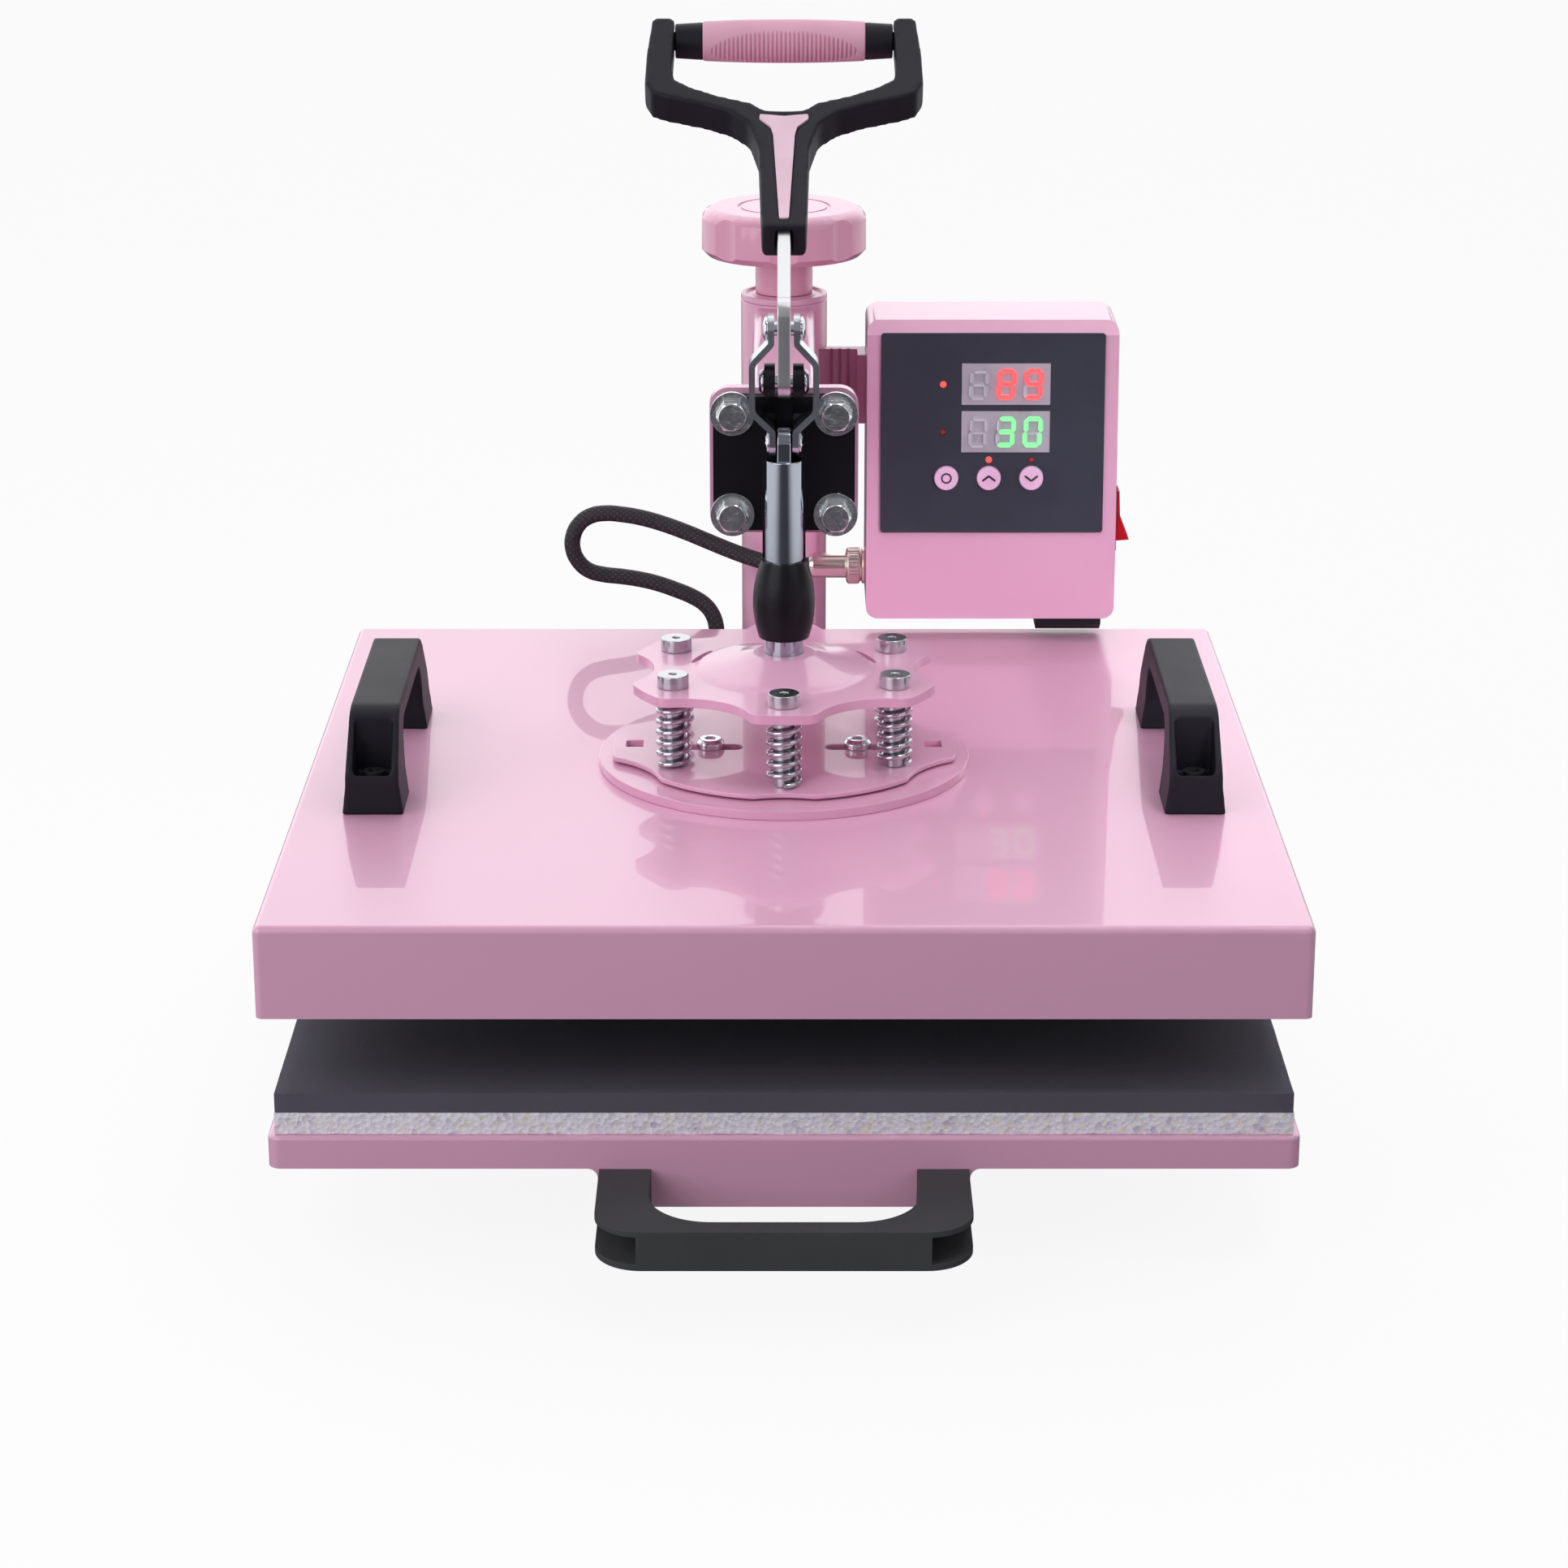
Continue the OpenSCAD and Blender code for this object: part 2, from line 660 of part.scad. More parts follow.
module display_windows() color([0.62, 0.58, 0.66]) placed()
    panel_frame() for (w = windows)
        translate([w[0], panel_v + panel_h / 2 + w[1], panel_t * 0.5 + 0.5])
            cube([window_w, window_h, 1], center = true);

module indicator_lamps() color([0.85, 0.3, 0.3]) placed()
    panel_frame() for (p = lamps)
        translate([p[0], panel_v + panel_h / 2 + p[1], -board_gap]) {
            cylinder(d = 3, h = board_gap + panel_t - 0.7);
            translate([0, 0, board_gap + panel_t - 0.7]) sphere(d = 3);
        }

// Board behind the panel, on four spacers
module circuit_board() color([0.2, 0.45, 0.3]) placed()
    panel_frame() translate([0, panel_v + panel_h / 2, 0]) {
        translate([0, 0, -board_gap - 0.8])
            cube([panel_w - 18, panel_h - 16, 1.6], center = true);
        for (sx = [-1, 1], sy = [-1, 1])
            translate([sx * (panel_w / 2 - 12), sy * (panel_h / 2 - 11), -board_gap])
                cylinder(d = 5, h = board_gap);
    }

button_travel = 1.2;

module push_button(u) panel_frame() translate([u, button_v, 0]) {
    translate([0, 0, -3]) cylinder(d = button_d, h = 3 + panel_t + button_proud);
    translate([0, 0, -3.5]) cylinder(d = button_d + 2, h = 2.5);
    translate([0, 0, button_travel + free_gap - board_gap])
        cylinder(d = 4, h = board_gap - button_travel - free_gap);
}

module button_set() color([0.86, 0.84, 0.88]) placed() push_button(buttons_u[0]);
module button_up() color([0.86, 0.84, 0.88]) placed() push_button(buttons_u[1]);
module button_down() color([0.86, 0.84, 0.88]) placed() push_button(buttons_u[2]);

gland_mains_x = box_mid + 37;
gland_mains_y = box_y + 14;

// Moulded mains gland under the box, with its cord hole at the back
module mains_gland() color(black) placed() difference() {
    union() {
        along_x(gland_mains_x, 30) polygon([[gland_mains_y - 9, box_z],
            [gland_mains_y - 9, box_z - 4], [gland_mains_y - 3, box_z - 8],
            [gland_mains_y + 12, box_z - 8], [gland_mains_y + 12, box_z]]);
        translate([gland_mains_x, gland_mains_y, box_z - 1]) cylinder(d = 10, h = 11);
    }
    translate([gland_mains_x, gland_mains_y, box_z - 4]) rotate([-90, 0, 0])
        cylinder(d = 6, h = 40);
}

// Rocker switch on the right wall
module switch_frame() color(black) placed()
    translate([box_x + box_w, switch_y, switch_z]) difference() {
        union() {
            translate([-14 - box_wall, -rocker_w / 2 - 2, -rocker_l / 2 - 2])
                cube([14 + box_wall + eps, rocker_w + 4, rocker_l + 4]);
            rotate([90, 0, 90]) linear_extrude(2) rounded(rocker_w + 7, rocker_l + 7, 2);
        }
        translate([-12, -rocker_w / 2 - free_gap, -rocker_l / 2 - 3 * free_gap])
            cube([30, rocker_w + 2 * free_gap, rocker_l + 6 * free_gap]);
        rotate([90, 0, 0]) cylinder(d = rocker_pin + 2 * run_fit, h = 2 * rocker_w, center = true);
    }

module power_rocker() color([0.8, 0.1, 0.12]) placed()
    translate([box_x + box_w, switch_y, switch_z]) rotate([0, rocker_tilt, 0]) rotate([90, 0, 0]) {
        cylinder(d = rocker_pin, h = rocker_w + 2.4, center = true);
        linear_extrude(rocker_w, center = true)
            polygon([[-8, -3], [-3, -rocker_l / 2 + 1.2], [6, -rocker_l / 2], [4, 0],
                [6, rocker_l / 2], [-3, rocker_l / 2 - 1.2], [-8, 3]]);
    }

bracket_z = box_z + 0.62 * box_h;
bracket_h = 32.5;

// Welded bracket from the column to the box
module box_bracket() color(pink) placed() difference() {
    union() {
        translate([0, column_y - 12, bracket_z]) cube([box_x - 3, 6, bracket_h]);
        translate([box_x - 4, box_y + 30, bracket_z])
            cube([4, column_y - 6 - box_y - 30, bracket_h]);
    }
    translate([0, column_y, sleeve_z]) cylinder(d = sleeve_d, h = 2 * column_rise);
    translate([-eps, column_y - sleeve_d, 0]) mirror([1, 0, 0])
        cube([sleeve_d, 2 * sleeve_d, sleeve_top]);
    for (x = [box_x - 16 : 4 : box_x - 6]) translate([x, column_y - 12, 0])
        cube([1.2, 3, 2 * sleeve_top], center = true);
}

socket_x = box_x - 1.7;

module heater_socket() color([0.75, 0.7, 0.6]) placed()
    translate([0, plug_y, plug_z]) {
        rod_x(socket_x, box_x, 17);
        rod_x(box_x - 1, box_x + box_wall + 8, 11);
    }

module heater_plug() color([0.75, 0.7, 0.6]) placed()
    translate([0, plug_y, plug_z]) rotate([0, -90, 0]) translate([0, 0, -socket_x])
        rotate_extrude() polygon([[0, 0], [7.4, 0], [7.4, 0.8], [8.5, 1.2], [8.5, 6.6], [7.4, 7.2],
            [5.8, 7.4], [5.8, 22.5], [4.8, 24.7], [0, 24.7]]);

// Round tube swept along points, with square ends
function unit(v) = v / norm(v);
function way(p, i) = unit(p[min(i + 1, len(p) - 1)] - p[max(i - 1, 0)]);
function side(d) = unit(cross(d, abs(d[2]) > 0.9 ? [0, 1, 0] : [0, 0, 1]));
function carry(p, i) = i == 0 ? side(way(p, 0))
    : let(d = way(p, i), a = carry(p, i - 1)) unit(a - (a * d) * d);
function ring(p, i, r, n) = let(d = way(p, i), a = carry(p, i), b = cross(d, a))
    [for (k = [0 : n - 1]) p[i] + r * (cos(360 * k / n) * a + sin(360 * k / n) * b)];
function quads(m, n) = [for (i = [0 : m - 2], k = [0 : n - 1])
    let(a = i * n + k, b = i * n + (k + 1) % n) each [[a, a + n, b], [b, a + n, b + n]]];

module tube(p, r, n) {
    m = len(p);
    polyhedron(points = [for (i = [0 : m - 1]) each ring(p, i, r, n)],
        faces = concat(quads(m, n), [[for (k = [0 : n - 1]) k]],
            [[for (k = [n - 1 : -1 : 0]) (m - 1) * n + k]]));
}

module heater_cable() color(black) placed()
    translate([0, platen_w / 2, platen_z]) tube(cable_route, cable_d / 2, 10);

// Pressure knob

module pressure_knob() color(pink) placed()
    translate([0, column_y, knob_z]) difference() {
        union() {
            cylinder(d = stem_d, h = stem_h + 1);
            translate([0, 0, stem_h]) rotate_extrude() polygon([[0, 0], [knob_d / 2 - 3, 0],
                [knob_d / 2, 3], [knob_d / 2, knob_h - 5], [knob_d / 2 - 2, knob_h - 2],
                [knob_d / 2 - 6, knob_h], [0, knob_h]]);
        }
        for (a = [0 : 45 : 315]) rotate(a)
            translate([knob_d / 2 + 13, 0, stem_h - eps]) cylinder(r = 15, h = knob_h + 2 * eps);
        translate([0, 0, stem_h + knob_h - 0.6]) difference() {
            cylinder(d = knob_d * 0.56, h = 2);
            cylinder(d = knob_d * 0.52, h = 2);
        }
        translate([0, 0, -eps]) cylinder(d = screw_d + 2 * seat, h = stem_h + knob_h * 0.6);
    }

screw_low = post_top - 70;

module lift_screw() color(steel) placed()
    translate([0, column_y, screw_low])
        cylinder(d = screw_d, h = knob_z + stem_h + knob_h * 0.6 - eps - screw_low);

// Lever

bar_in_v = bare_l + 52;

module bar_slot(grow) translate([0, 0, 0])
    cube([bar_t + 2 * grow, 2 * (bar_in_v + grow), bar_w - 3 + 2 * grow], center = true);

// Flat bar: round eye at the pivot, upright to the bend, then leaning back into the yoke
module lever_bar() color(steel) placed() difference() {
    along_x(0, bar_t) {
        translate([0, pivot_z]) circle(d = bar_w);
        translate([-bar_w / 2, pivot_z]) square([bar_w, bend_z - pivot_z]);
        translate([0, bend_z]) circle(d = bar_w);
        translate([0, bend_z]) rotate(90 - lean)
            translate([0, 1.5 - bar_w / 2]) square([bar_in_v, bar_w - 3]);
    }
    translate([0, 0, pivot_z]) rod_x(-bar_w, bar_w, pin_d + 2 * run_fit);
    translate([0, 0, crank_z]) rod_x(-bar_w, bar_w, pin_d + 2 * seat);
}

yoke_end = bare_l + yoke_l;
yoke_x = yoke_w / 2;
hollow_x = yoke_x - post_w;
stem_x = stem_w / 2;

// Half of the yoke's outside, with the posts
module yoke_half() polygon([[-1, bare_l], [stem_x - 1.4, bare_l], [stem_x, crotch_v - 24],
    [stem_x + 4, crotch_v - 8], [yoke_x * 0.39, crotch_v], [yoke_x * 0.58, crotch_v + 5],
    [yoke_x - 10, crotch_v + 9.5], [yoke_x - 3, crotch_v + 13], [yoke_x, crotch_v + 20],
    [yoke_x - 0.5, crotch_v + 40], [yoke_x - post_lean, yoke_end], [-1, yoke_end]]);

// Half of the hollow between the posts, with a notch over the stem
module hollow_half() polygon([[-1, crotch_v + 0.4], [8.6, crotch_v + 1], [13.6, crotch_v + 5.5],
    [hollow_x - 20, crotch_v + 11.5], [hollow_x - 10, crotch_v + 16.5], [hollow_x - 3, crotch_v + 21.5],
    [hollow_x - 1.5, crotch_v + 30], [hollow_x - post_lean, yoke_end + 9], [-1, yoke_end + 9]]);

module both_halves() {
    children();
    mirror([1, 0, 0]) children();
}

module yoke_outline() offset(r = 2) offset(delta = -2) offset(r = -2) offset(delta = 2) difference() {
    offset(r = -9) offset(delta = 9) both_halves() yoke_half();
    both_halves() hollow_half();
}

// Side view of the yoke: flat in front, thinner towards the posts
module yoke_side() polygon([[bare_l - 1, -yoke_t / 2], [crotch_v, 2 - yoke_t / 2],
    [yoke_end + 1, 2 - yoke_t / 2], [yoke_end + 1, yoke_t / 2], [bare_l - 1, yoke_t / 2]]);

module insert_half() polygon([[-1, bare_l + 5], [2, bare_l + 5], [4.6, crotch_v - 16],
    [5.6, crotch_v - 11], [10.5, crotch_v - 5.5], [10.3, crotch_v - 2.5], [6, crotch_v - 3],
    [-1, crotch_v - 4]]);

module insert_outline() offset(r = 0.8) offset(delta = -0.8) both_halves() insert_half();

inlay_t = 1.2;

module handle_yoke() color(black) placed() lever_frame() difference() {
    intersection() {
        linear_extrude(2 * yoke_t, center = true, $fn = 48) yoke_outline();
        along_x(0, yoke_w + 2) yoke_side();
    }
    bar_slot(seat);
    translate([0, 0, yoke_t / 2 - inlay_t]) linear_extrude(inlay_t + 1, $fn = 24)
        offset(delta = seat) insert_outline();
    translate([0, grip_v, 0]) rod_x(5 - yoke_x, yoke_x - 5, 8 + 2 * seat);
}

module yoke_insert() color(pink) placed() lever_frame()
    translate([0, 0, yoke_t / 2 - inlay_t]) linear_extrude(inlay_t + 0.4, $fn = 24)
        insert_outline();

collar_d = grip_d - 2.2;

// Grip core: spindle with a tapered collar against each post
module grip_core() color(black) placed() lever_frame() translate([0, grip_v, 0]) {
    rod_x(5.2 - yoke_x, yoke_x - 5.2, 8);
    for (s = [-1, 1]) rotate([0, s * 90, 0]) translate([0, 0, grip_l / 2])
        rotate_extrude() polygon([[0, 0], [grip_d / 2 - 0.4, 0], [collar_d / 2, collar_l],
            [0, collar_l]]);
}

rib_pitch = 2.4;
rib_count = 24;

module hand_grip() color(pink) placed() lever_frame() translate([0, grip_v, 0]) difference() {
    rotate([0, 90, 0]) rotate_extrude() polygon([[4 + seat, -grip_l / 2], [grip_d / 2, -grip_l / 2],
        [grip_d / 2 + 0.9, 0], [grip_d / 2, grip_l / 2], [4 + seat, grip_l / 2]]);
    for (i = [0 : rib_count - 1]) translate([(i - (rib_count - 1) / 2) * rib_pitch, 0, 0])
        rotate([0, 90, 0]) rotate_extrude()
            translate([grip_d / 2 + 0.2, -0.4]) square([2, 0.8]);
}

module crank_pin() color(steel) placed() translate([0, 0, crank_z]) {
    rod_x(-link_in - link_t - 1, link_in + link_t + 1, pin_d);
    for (s = [-1, 1]) rotate([0, s * 90, 0]) translate([0, 0, link_in + link_t + seat])
        rotate_extrude() polygon([[0, 0], [head_r, 0], [head_r, 1.2], [head_r * 0.6, head_t],
            [0, head_t]]);
}

// Links: bent strips that hug the bar, bow round the pivot ears and close on the ram's tongue
bow_top = pivot_z + 16;
bow_full = pivot_z + 7.5;
bow_end = pivot_z - 11.5;
bow_low = pin_z + 6;
link_eye = link_w / 2;

// Room between the links, with round bends
module link_hollow() offset(r = -3) offset(delta = 3) offset(r = 4) offset(delta = -4)
    polygon([[-link_wide, crank_z + link_w], [link_in, crank_z + link_w], [link_in, bow_top],
        [link_wide, bow_full], [link_wide, bow_end], [link_low, bow_low], [link_low, pin_z - link_w],
        [-link_wide, pin_z - link_w]]);

module link_strip() difference() {
    intersection() {
        offset(r = link_t) link_hollow();
        translate([0, pin_z - link_eye]) square([2 * link_wide, crank_z - pin_z + link_w]);
    }
    link_hollow();
}

module toggle_links() color(steel) placed()
    for (s = [0, 1]) mirror([s, 0, 0]) difference() {
        intersection() {
            rotate([90, 0, 0]) linear_extrude(link_w, center = true) link_strip();
            along_x(link_wide, 2 * link_wide + 4 * link_t) {
                translate([0, crank_z]) circle(link_eye);
                translate([0, pin_z]) circle(5.4);
                translate([-link_w / 2, bow_low]) square([link_w, crank_z - bow_low]);
                polygon([[-5.4, pin_z], [5.4, pin_z], [link_w / 2, bow_low + 0.1],
                    [-link_w / 2, bow_low + 0.1]]);
            }
        }
        translate([0, 0, crank_z]) rod_x(-1, 3 * link_wide, pin_d + 2 * run_fit);
        translate([0, 0, pin_z]) rod_x(-1, 3 * link_wide, pin_d + 2 * seat);
    }

module link_rivets() color(steel) placed() translate([0, 0, pin_z])
    for (s = [-1, 1]) rotate([0, s * 90, 0]) translate([0, 0, link_low])
        rotate_extrude() polygon([[0, 0], [pin_d / 2, 0], [pin_d / 2, link_t],
            [4.5, link_t], [4.5, link_t + 1], [2.6, link_t + 2], [0, link_t + 2]]);

// Platen

stud_d = 12;
stud_at = heat_w / 2 - 50;

module at_studs() for (sx = [-1, 1], sy = [-1, 1]) translate([sx * stud_at, sy * stud_at, 0])
    children();

// Heated plate hung from the cover by four bosses
module heat_plate() color([0.17, 0.16, 0.18]) placed() {
    translate([0, 0, heat_z]) linear_extrude(heat_t) rounded(heat_w, heat_w, 14);
    at_studs() translate([0, 0, heat_z + heat_t - eps])
        cylinder(d = stud_d, h = platen_z - cover_t - heat_z - heat_t + eps);
}

element_z = heat_z + heat_t + element_d / 2;
element_pitch = 64;
element_runs = 4;
element_half = 110;

// Serpentine heating tube lying on the plate
module heating_element() color(steel) placed() translate([0, 0, element_z]) {
    for (i = [0 : element_runs - 1])
        translate([(i - (element_runs - 1) / 2) * element_pitch, 0, 0]) rotate([90, 0, 0])
            cylinder(d = element_d, h = 2 * element_half, center = true);
    for (i = [0 : element_runs - 2])
        translate([(i - (element_runs - 2) / 2) * element_pitch,
            (i % 2 == 0 ? 1 : -1) * element_half, 0])
            rotate(i % 2 == 0 ? 0 : 180) rotate_extrude(angle = 180)
                translate([element_pitch / 2, 0]) circle(d = element_d);
}

module insulation_mat() color([0.9, 0.89, 0.85]) placed() difference() {
    translate([0, 0, element_z + element_d / 2])
        linear_extrude(mat_t) rounded(heat_w - 10, heat_w - 10, 10);
    at_studs() translate([0, 0, heat_z]) cylinder(d = stud_d + 1, h = 2 * cover_h);
}

// Folded sheet cover, open below
module platen_cover() color(pink) placed() difference() {
    hull() for (sx = [-1, 1], sy = [-1, 1])
        translate([sx * (platen_w / 2 - cover_r), sy * (platen_w / 2 - cover_r), 0]) {
            translate([0, 0, platen_z - cover_r]) sphere(cover_r, $fn = 32);
            translate([0, 0, cover_z]) cylinder(r = cover_r, h = 1, $fn = 32);
        }
    translate([0, 0, cover_z - eps]) linear_extrude(cover_h - cover_t + eps)
        rounded(platen_w - 2 * cover_t, platen_w - 2 * cover_t, cover_r);
    for (sx = [-1, 1], sy = [-1, 1])
        translate([sx * handle_x, sy * handle_screw_x, platen_z - 2 * cover_t])
            cylinder(d = handle_screw_d + 2 * seat, h = 4 * cover_t);
    translate([gland_x, platen_w / 2 - 4 * cover_t, gland_z]) rotate([-90, 0, 0])
        cylinder(d = 9 + 2 * seat, h = 8 * cover_t);
}

module top_handle(s) color(black) placed()
    translate([s * handle_x, 0, platen_z]) rotate([90, 0, 90]) intersection() {
        bridge_handle(handle_h, handle_l, handle_top_l, handle_w, handle_bar, handle_leg);
        rotate([0, 90, 0]) linear_extrude(2 * handle_l, center = true)
            polygon([[-handle_w / 2, 0], [handle_w / 2, 0], [handle_w * 0.44, handle_h * 0.3],
                [handle_w * 0.4, handle_h + 1], [-handle_w * 0.4, handle_h + 1],
                [-handle_w * 0.44, handle_h * 0.3]]);
    }

module platen_handle_left() top_handle(-1);
module platen_handle_right() top_handle(1);

module platen_handle_screws() color(steel) placed()
    for (sx = [-1, 1], sy = [-1, 1]) translate([sx * handle_x, sy * handle_screw_x, platen_z])
        handle_screw(handle_h * 0.32, cover_t + 2);

change_r = bolt_ring_r + 14;
lock_x = 31;
lock_y = -3;
lock_d = 6;

module ring_plate() color(pink) placed() difference() {
    translate([0, 0, platen_z]) cylinder(d = ring_d, h = ring_t, $fn = 96);
    for (s = [-1, 1]) translate([s * lock_x, lock_y, platen_z - eps])
        cylinder(d = lock_d + 2 * seat, h = ring_t + 2 * eps);
    at_bolts() translate([0, 0, platen_z - eps]) cylinder(d = 7 + 2 * seat, h = 2 * ring_t);
}

// Quick-change plate: scalloped round plate with two ears and two slots for the lock screws
module quick_change_plate() color(pink) placed() difference() {
    translate([0, 0, change_z]) linear_extrude(change_t) difference() {
        union() {
            circle(change_r, $fn = 96);
            rounded(2 * change_r + 10, 46, 12);
        }
        for (a = [0 : 60 : 300]) rotate(a) translate([0, change_r + 38]) circle(41);
        for (a = [30, 150, 210, 330]) rotate(a) translate([change_r + 29, 0]) circle(30);
        for (s = [-1, 1]) {
            translate([s * 30, lock_y]) rounded(25, lock_d + 1, (lock_d + 1) / 2 - 0.1);
            translate([s * 63, 2]) square([7, 9], center = true);
        }
    }
    at_bolts() translate([0, 0, change_z - eps]) cylinder(d = 7 + 2 * seat, h = 2 * ring_t);
}

module lock_screws() color(steel) placed()
    for (s = [-1, 1]) translate([s * lock_x, lock_y, platen_z]) {
        cylinder(d = lock_d, h = ring_t + change_t + 1);
        translate([0, 0, ring_t + change_t]) difference() {
            rotate_extrude() polygon([[0, 0], [5.8, 0], [5.8, 2.4], [4.6, 4], [0, 4]]);
            translate([0, 0, 2]) cylinder(d = 5, h = 4, $fn = 6);
        }
    }

head_d = 13;
head_h = 5.5;

module spring_bolts() color(steel) placed() at_bolts() {
    translate([0, 0, platen_z]) cylinder(d = 7, h = ring_t + change_t + eps);
    translate([0, 0, spring_z]) cylinder(d = shank_d, h = star_top - spring_z + eps);
    translate([0, 0, star_top]) difference() {
        cylinder(d = head_d, h = head_h);
        translate([0, 0, head_h - 2.5]) cylinder(d = 7, h = 4, $fn = 6);
    }
}

// Coil springs: one unbroken tube each, with its ends drawn close to the plates
rings_per_turn = 8;
coil_sides = 6;
coil_r = (spring_d - wire_d) / 2;
coil_n = turns * rings_per_turn;
coil_rise = spring_h - wire_d - 2 * seat;
coil_pts = [for (i = [0 : coil_n]) let(a = 360 * i / rings_per_turn, f = i / coil_n)
    [coil_r * cos(a), coil_r * sin(a), spring_z + seat + wire_d / 2 + f * coil_rise]];
coil_gap = min([for (i = [0 : coil_n - rings_per_turn])
    norm(coil_pts[i + rings_per_turn] - coil_pts[i])]) - wire_d;
echo(least_gap_between_spring_turns = coil_gap);

module compression_springs() color(steel) placed() at_bolts() tube(coil_pts, wire_d / 2, coil_sides);

// Elbow gland on the back of the cover; the cable comes down into it
module cable_gland() color(black) placed() translate([gland_x, 0, gland_z]) {
    translate([0, platen_w / 2 - cover_t, 0]) rotate([-90, 0, 0]) cylinder(d = 9, h = 4);
    translate([0, platen_w / 2, 0]) rotate([-90, 0, 0]) cylinder(d = 13, h = gland_y - platen_w / 2);
    translate([0, gland_y, 0]) sphere(d = 13);
    translate([0, gland_y, 0]) cylinder(d1 = 13, d2 = cable_d + 2.5, h = 8.3);
}

// Ram

module ram_rod() color(steel) placed() {
    translate([0, 0, star_z + 1]) cylinder(d = ram_d + 10, h = star_t);
    translate([0, 0, star_z + 1]) cylinder(d = ram_d, h = platen_z + ram_top - star_z - 1);
    along_x(0, tongue_t) {
        translate([0, pin_z]) circle(tongue_r);
        translate([-tongue_r, platen_z + ram_top - eps]) square([2 * tongue_r, pin_z - platen_z
            - ram_top + eps]);
    }
}

dome_r = 38.5;
boss_r = 12.5;

// Star plate: six lobes round a pressed dome with a flat boss and two arc slits
module star_plate() color(pink) placed() difference() {
    union() {
        translate([0, 0, star_z]) linear_extrude(star_t) offset(r = 6) offset(delta = -6) difference() {
            circle(star_r, $fn = 96);
            for (a = [0 : 60 : 300]) rotate(a) translate([84, 0]) circle(29.5);
        }
        translate([0, 0, star_top]) rotate_extrude() polygon([[0, -eps], [dome_r, -eps], [dome_r, 0],
            [dome_r - 1.5, 1], [dome_r - 5, 2], [26, 3.2], [20, 4.6], [16, 6], [14, dome_h - 0.3],
            [boss_r, dome_h], [0, dome_h]]);
    }
    translate([0, 0, star_z - eps]) cylinder(r1 = dome_r - 4, r2 = ram_d / 2 + 5.4,
        h = star_t + 1.5 + eps);
    translate([0, 0, star_z]) cylinder(d = ram_d + 2 * seat, h = 40);
    at_bolts() translate([0, 0, star_z - eps])
        cylinder(d = shank_d + 4 * run_fit, h = star_t + 2 * eps);
    for (a = [25, 155]) rotate(a - 14) translate([0, 0, star_z - eps])
        rotate_extrude(angle = 28) translate([dome_r - 2.5, 0]) square([4, star_t + dome_h]);
}

base_rails();
base_crossmembers();
column_post();
rubber_feet();
drawer_guides();
drawer_runners();
lower_tray();
felt_layer();
silicone_pad();
drawer_handle();
drawer_handle_screws();
lift_bushes();
column_sleeve();
column_cap();
swing_arm();
mount_plate();
toggle_body();
toggle_bolts();
lever_pivot_pin();
box_bracket();
box_front();
box_back();
control_panel();
display_windows();
indicator_lamps();
circuit_board();
mains_gland();
switch_frame();
heater_socket();
heater_plug();
heater_cable();
pressure_knob();
lift_screw();
lever_bar();
handle_yoke();
yoke_insert();
grip_core();
hand_grip();
crank_pin();
toggle_links();
link_rivets();
heat_plate();
heating_element();
insulation_mat();
platen_cover();
platen_handle_left();
platen_handle_right();
platen_handle_screws();
ring_plate();
quick_change_plate();
lock_screws();
spring_bolts();
compression_springs();
cable_gland();
ram_rod();
star_plate();
button_set();
button_up();
button_down();
power_rocker();
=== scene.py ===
# %% [markdown]
# # Dressing a swing-away heat press
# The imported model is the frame: every solid is already where it belongs, in metres. This lesson gives
# each of those solids its edges and its finish, and models again what a solid can't show: the ribbed
# grip, the foam and the sponge pad, the coil springs, the braided cable, and the small parts of the
# control panel.

# %% The frame
import json
import math

import bpy
from mathutils import Matrix, Vector


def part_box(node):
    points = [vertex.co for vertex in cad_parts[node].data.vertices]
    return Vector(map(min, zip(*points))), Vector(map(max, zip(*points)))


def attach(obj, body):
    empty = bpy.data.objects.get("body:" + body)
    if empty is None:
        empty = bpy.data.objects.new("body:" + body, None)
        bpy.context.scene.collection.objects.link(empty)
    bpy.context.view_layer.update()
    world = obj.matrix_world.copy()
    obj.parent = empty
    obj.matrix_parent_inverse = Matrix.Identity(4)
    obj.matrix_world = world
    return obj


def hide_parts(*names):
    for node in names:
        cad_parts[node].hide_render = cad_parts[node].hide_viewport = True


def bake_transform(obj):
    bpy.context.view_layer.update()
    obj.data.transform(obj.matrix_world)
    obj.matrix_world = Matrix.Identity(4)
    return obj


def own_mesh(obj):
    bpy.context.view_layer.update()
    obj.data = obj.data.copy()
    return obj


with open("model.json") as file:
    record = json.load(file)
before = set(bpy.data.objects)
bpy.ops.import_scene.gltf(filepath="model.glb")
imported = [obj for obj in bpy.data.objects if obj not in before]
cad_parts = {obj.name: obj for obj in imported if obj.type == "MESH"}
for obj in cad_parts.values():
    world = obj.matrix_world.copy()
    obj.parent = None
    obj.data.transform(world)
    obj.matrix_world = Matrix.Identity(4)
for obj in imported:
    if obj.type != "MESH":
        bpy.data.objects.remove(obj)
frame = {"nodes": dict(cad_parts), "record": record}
nodes = frame["nodes"]
body_of_node = {n: b for b, ns in frame["record"]["behaviour"]["bodies"].items() for n in ns}
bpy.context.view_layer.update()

# %% [markdown]
# ## Camera, floor and light
# The picture was taken straight from the front, 18.6 degrees down, with a long lens. The floor and the
# world look white to the camera, while a weak part of the floor's own shading stays, so the press keeps
# its shadow. Bright metal looks flat if all that it mirrors is white, so reflections see the floor dark
# in a lane through the middle and white at both sides. Three soft boxes light the press, broad from
# above, strong from the left and weak from the right, and two narrow lamps lift the platen and the box.

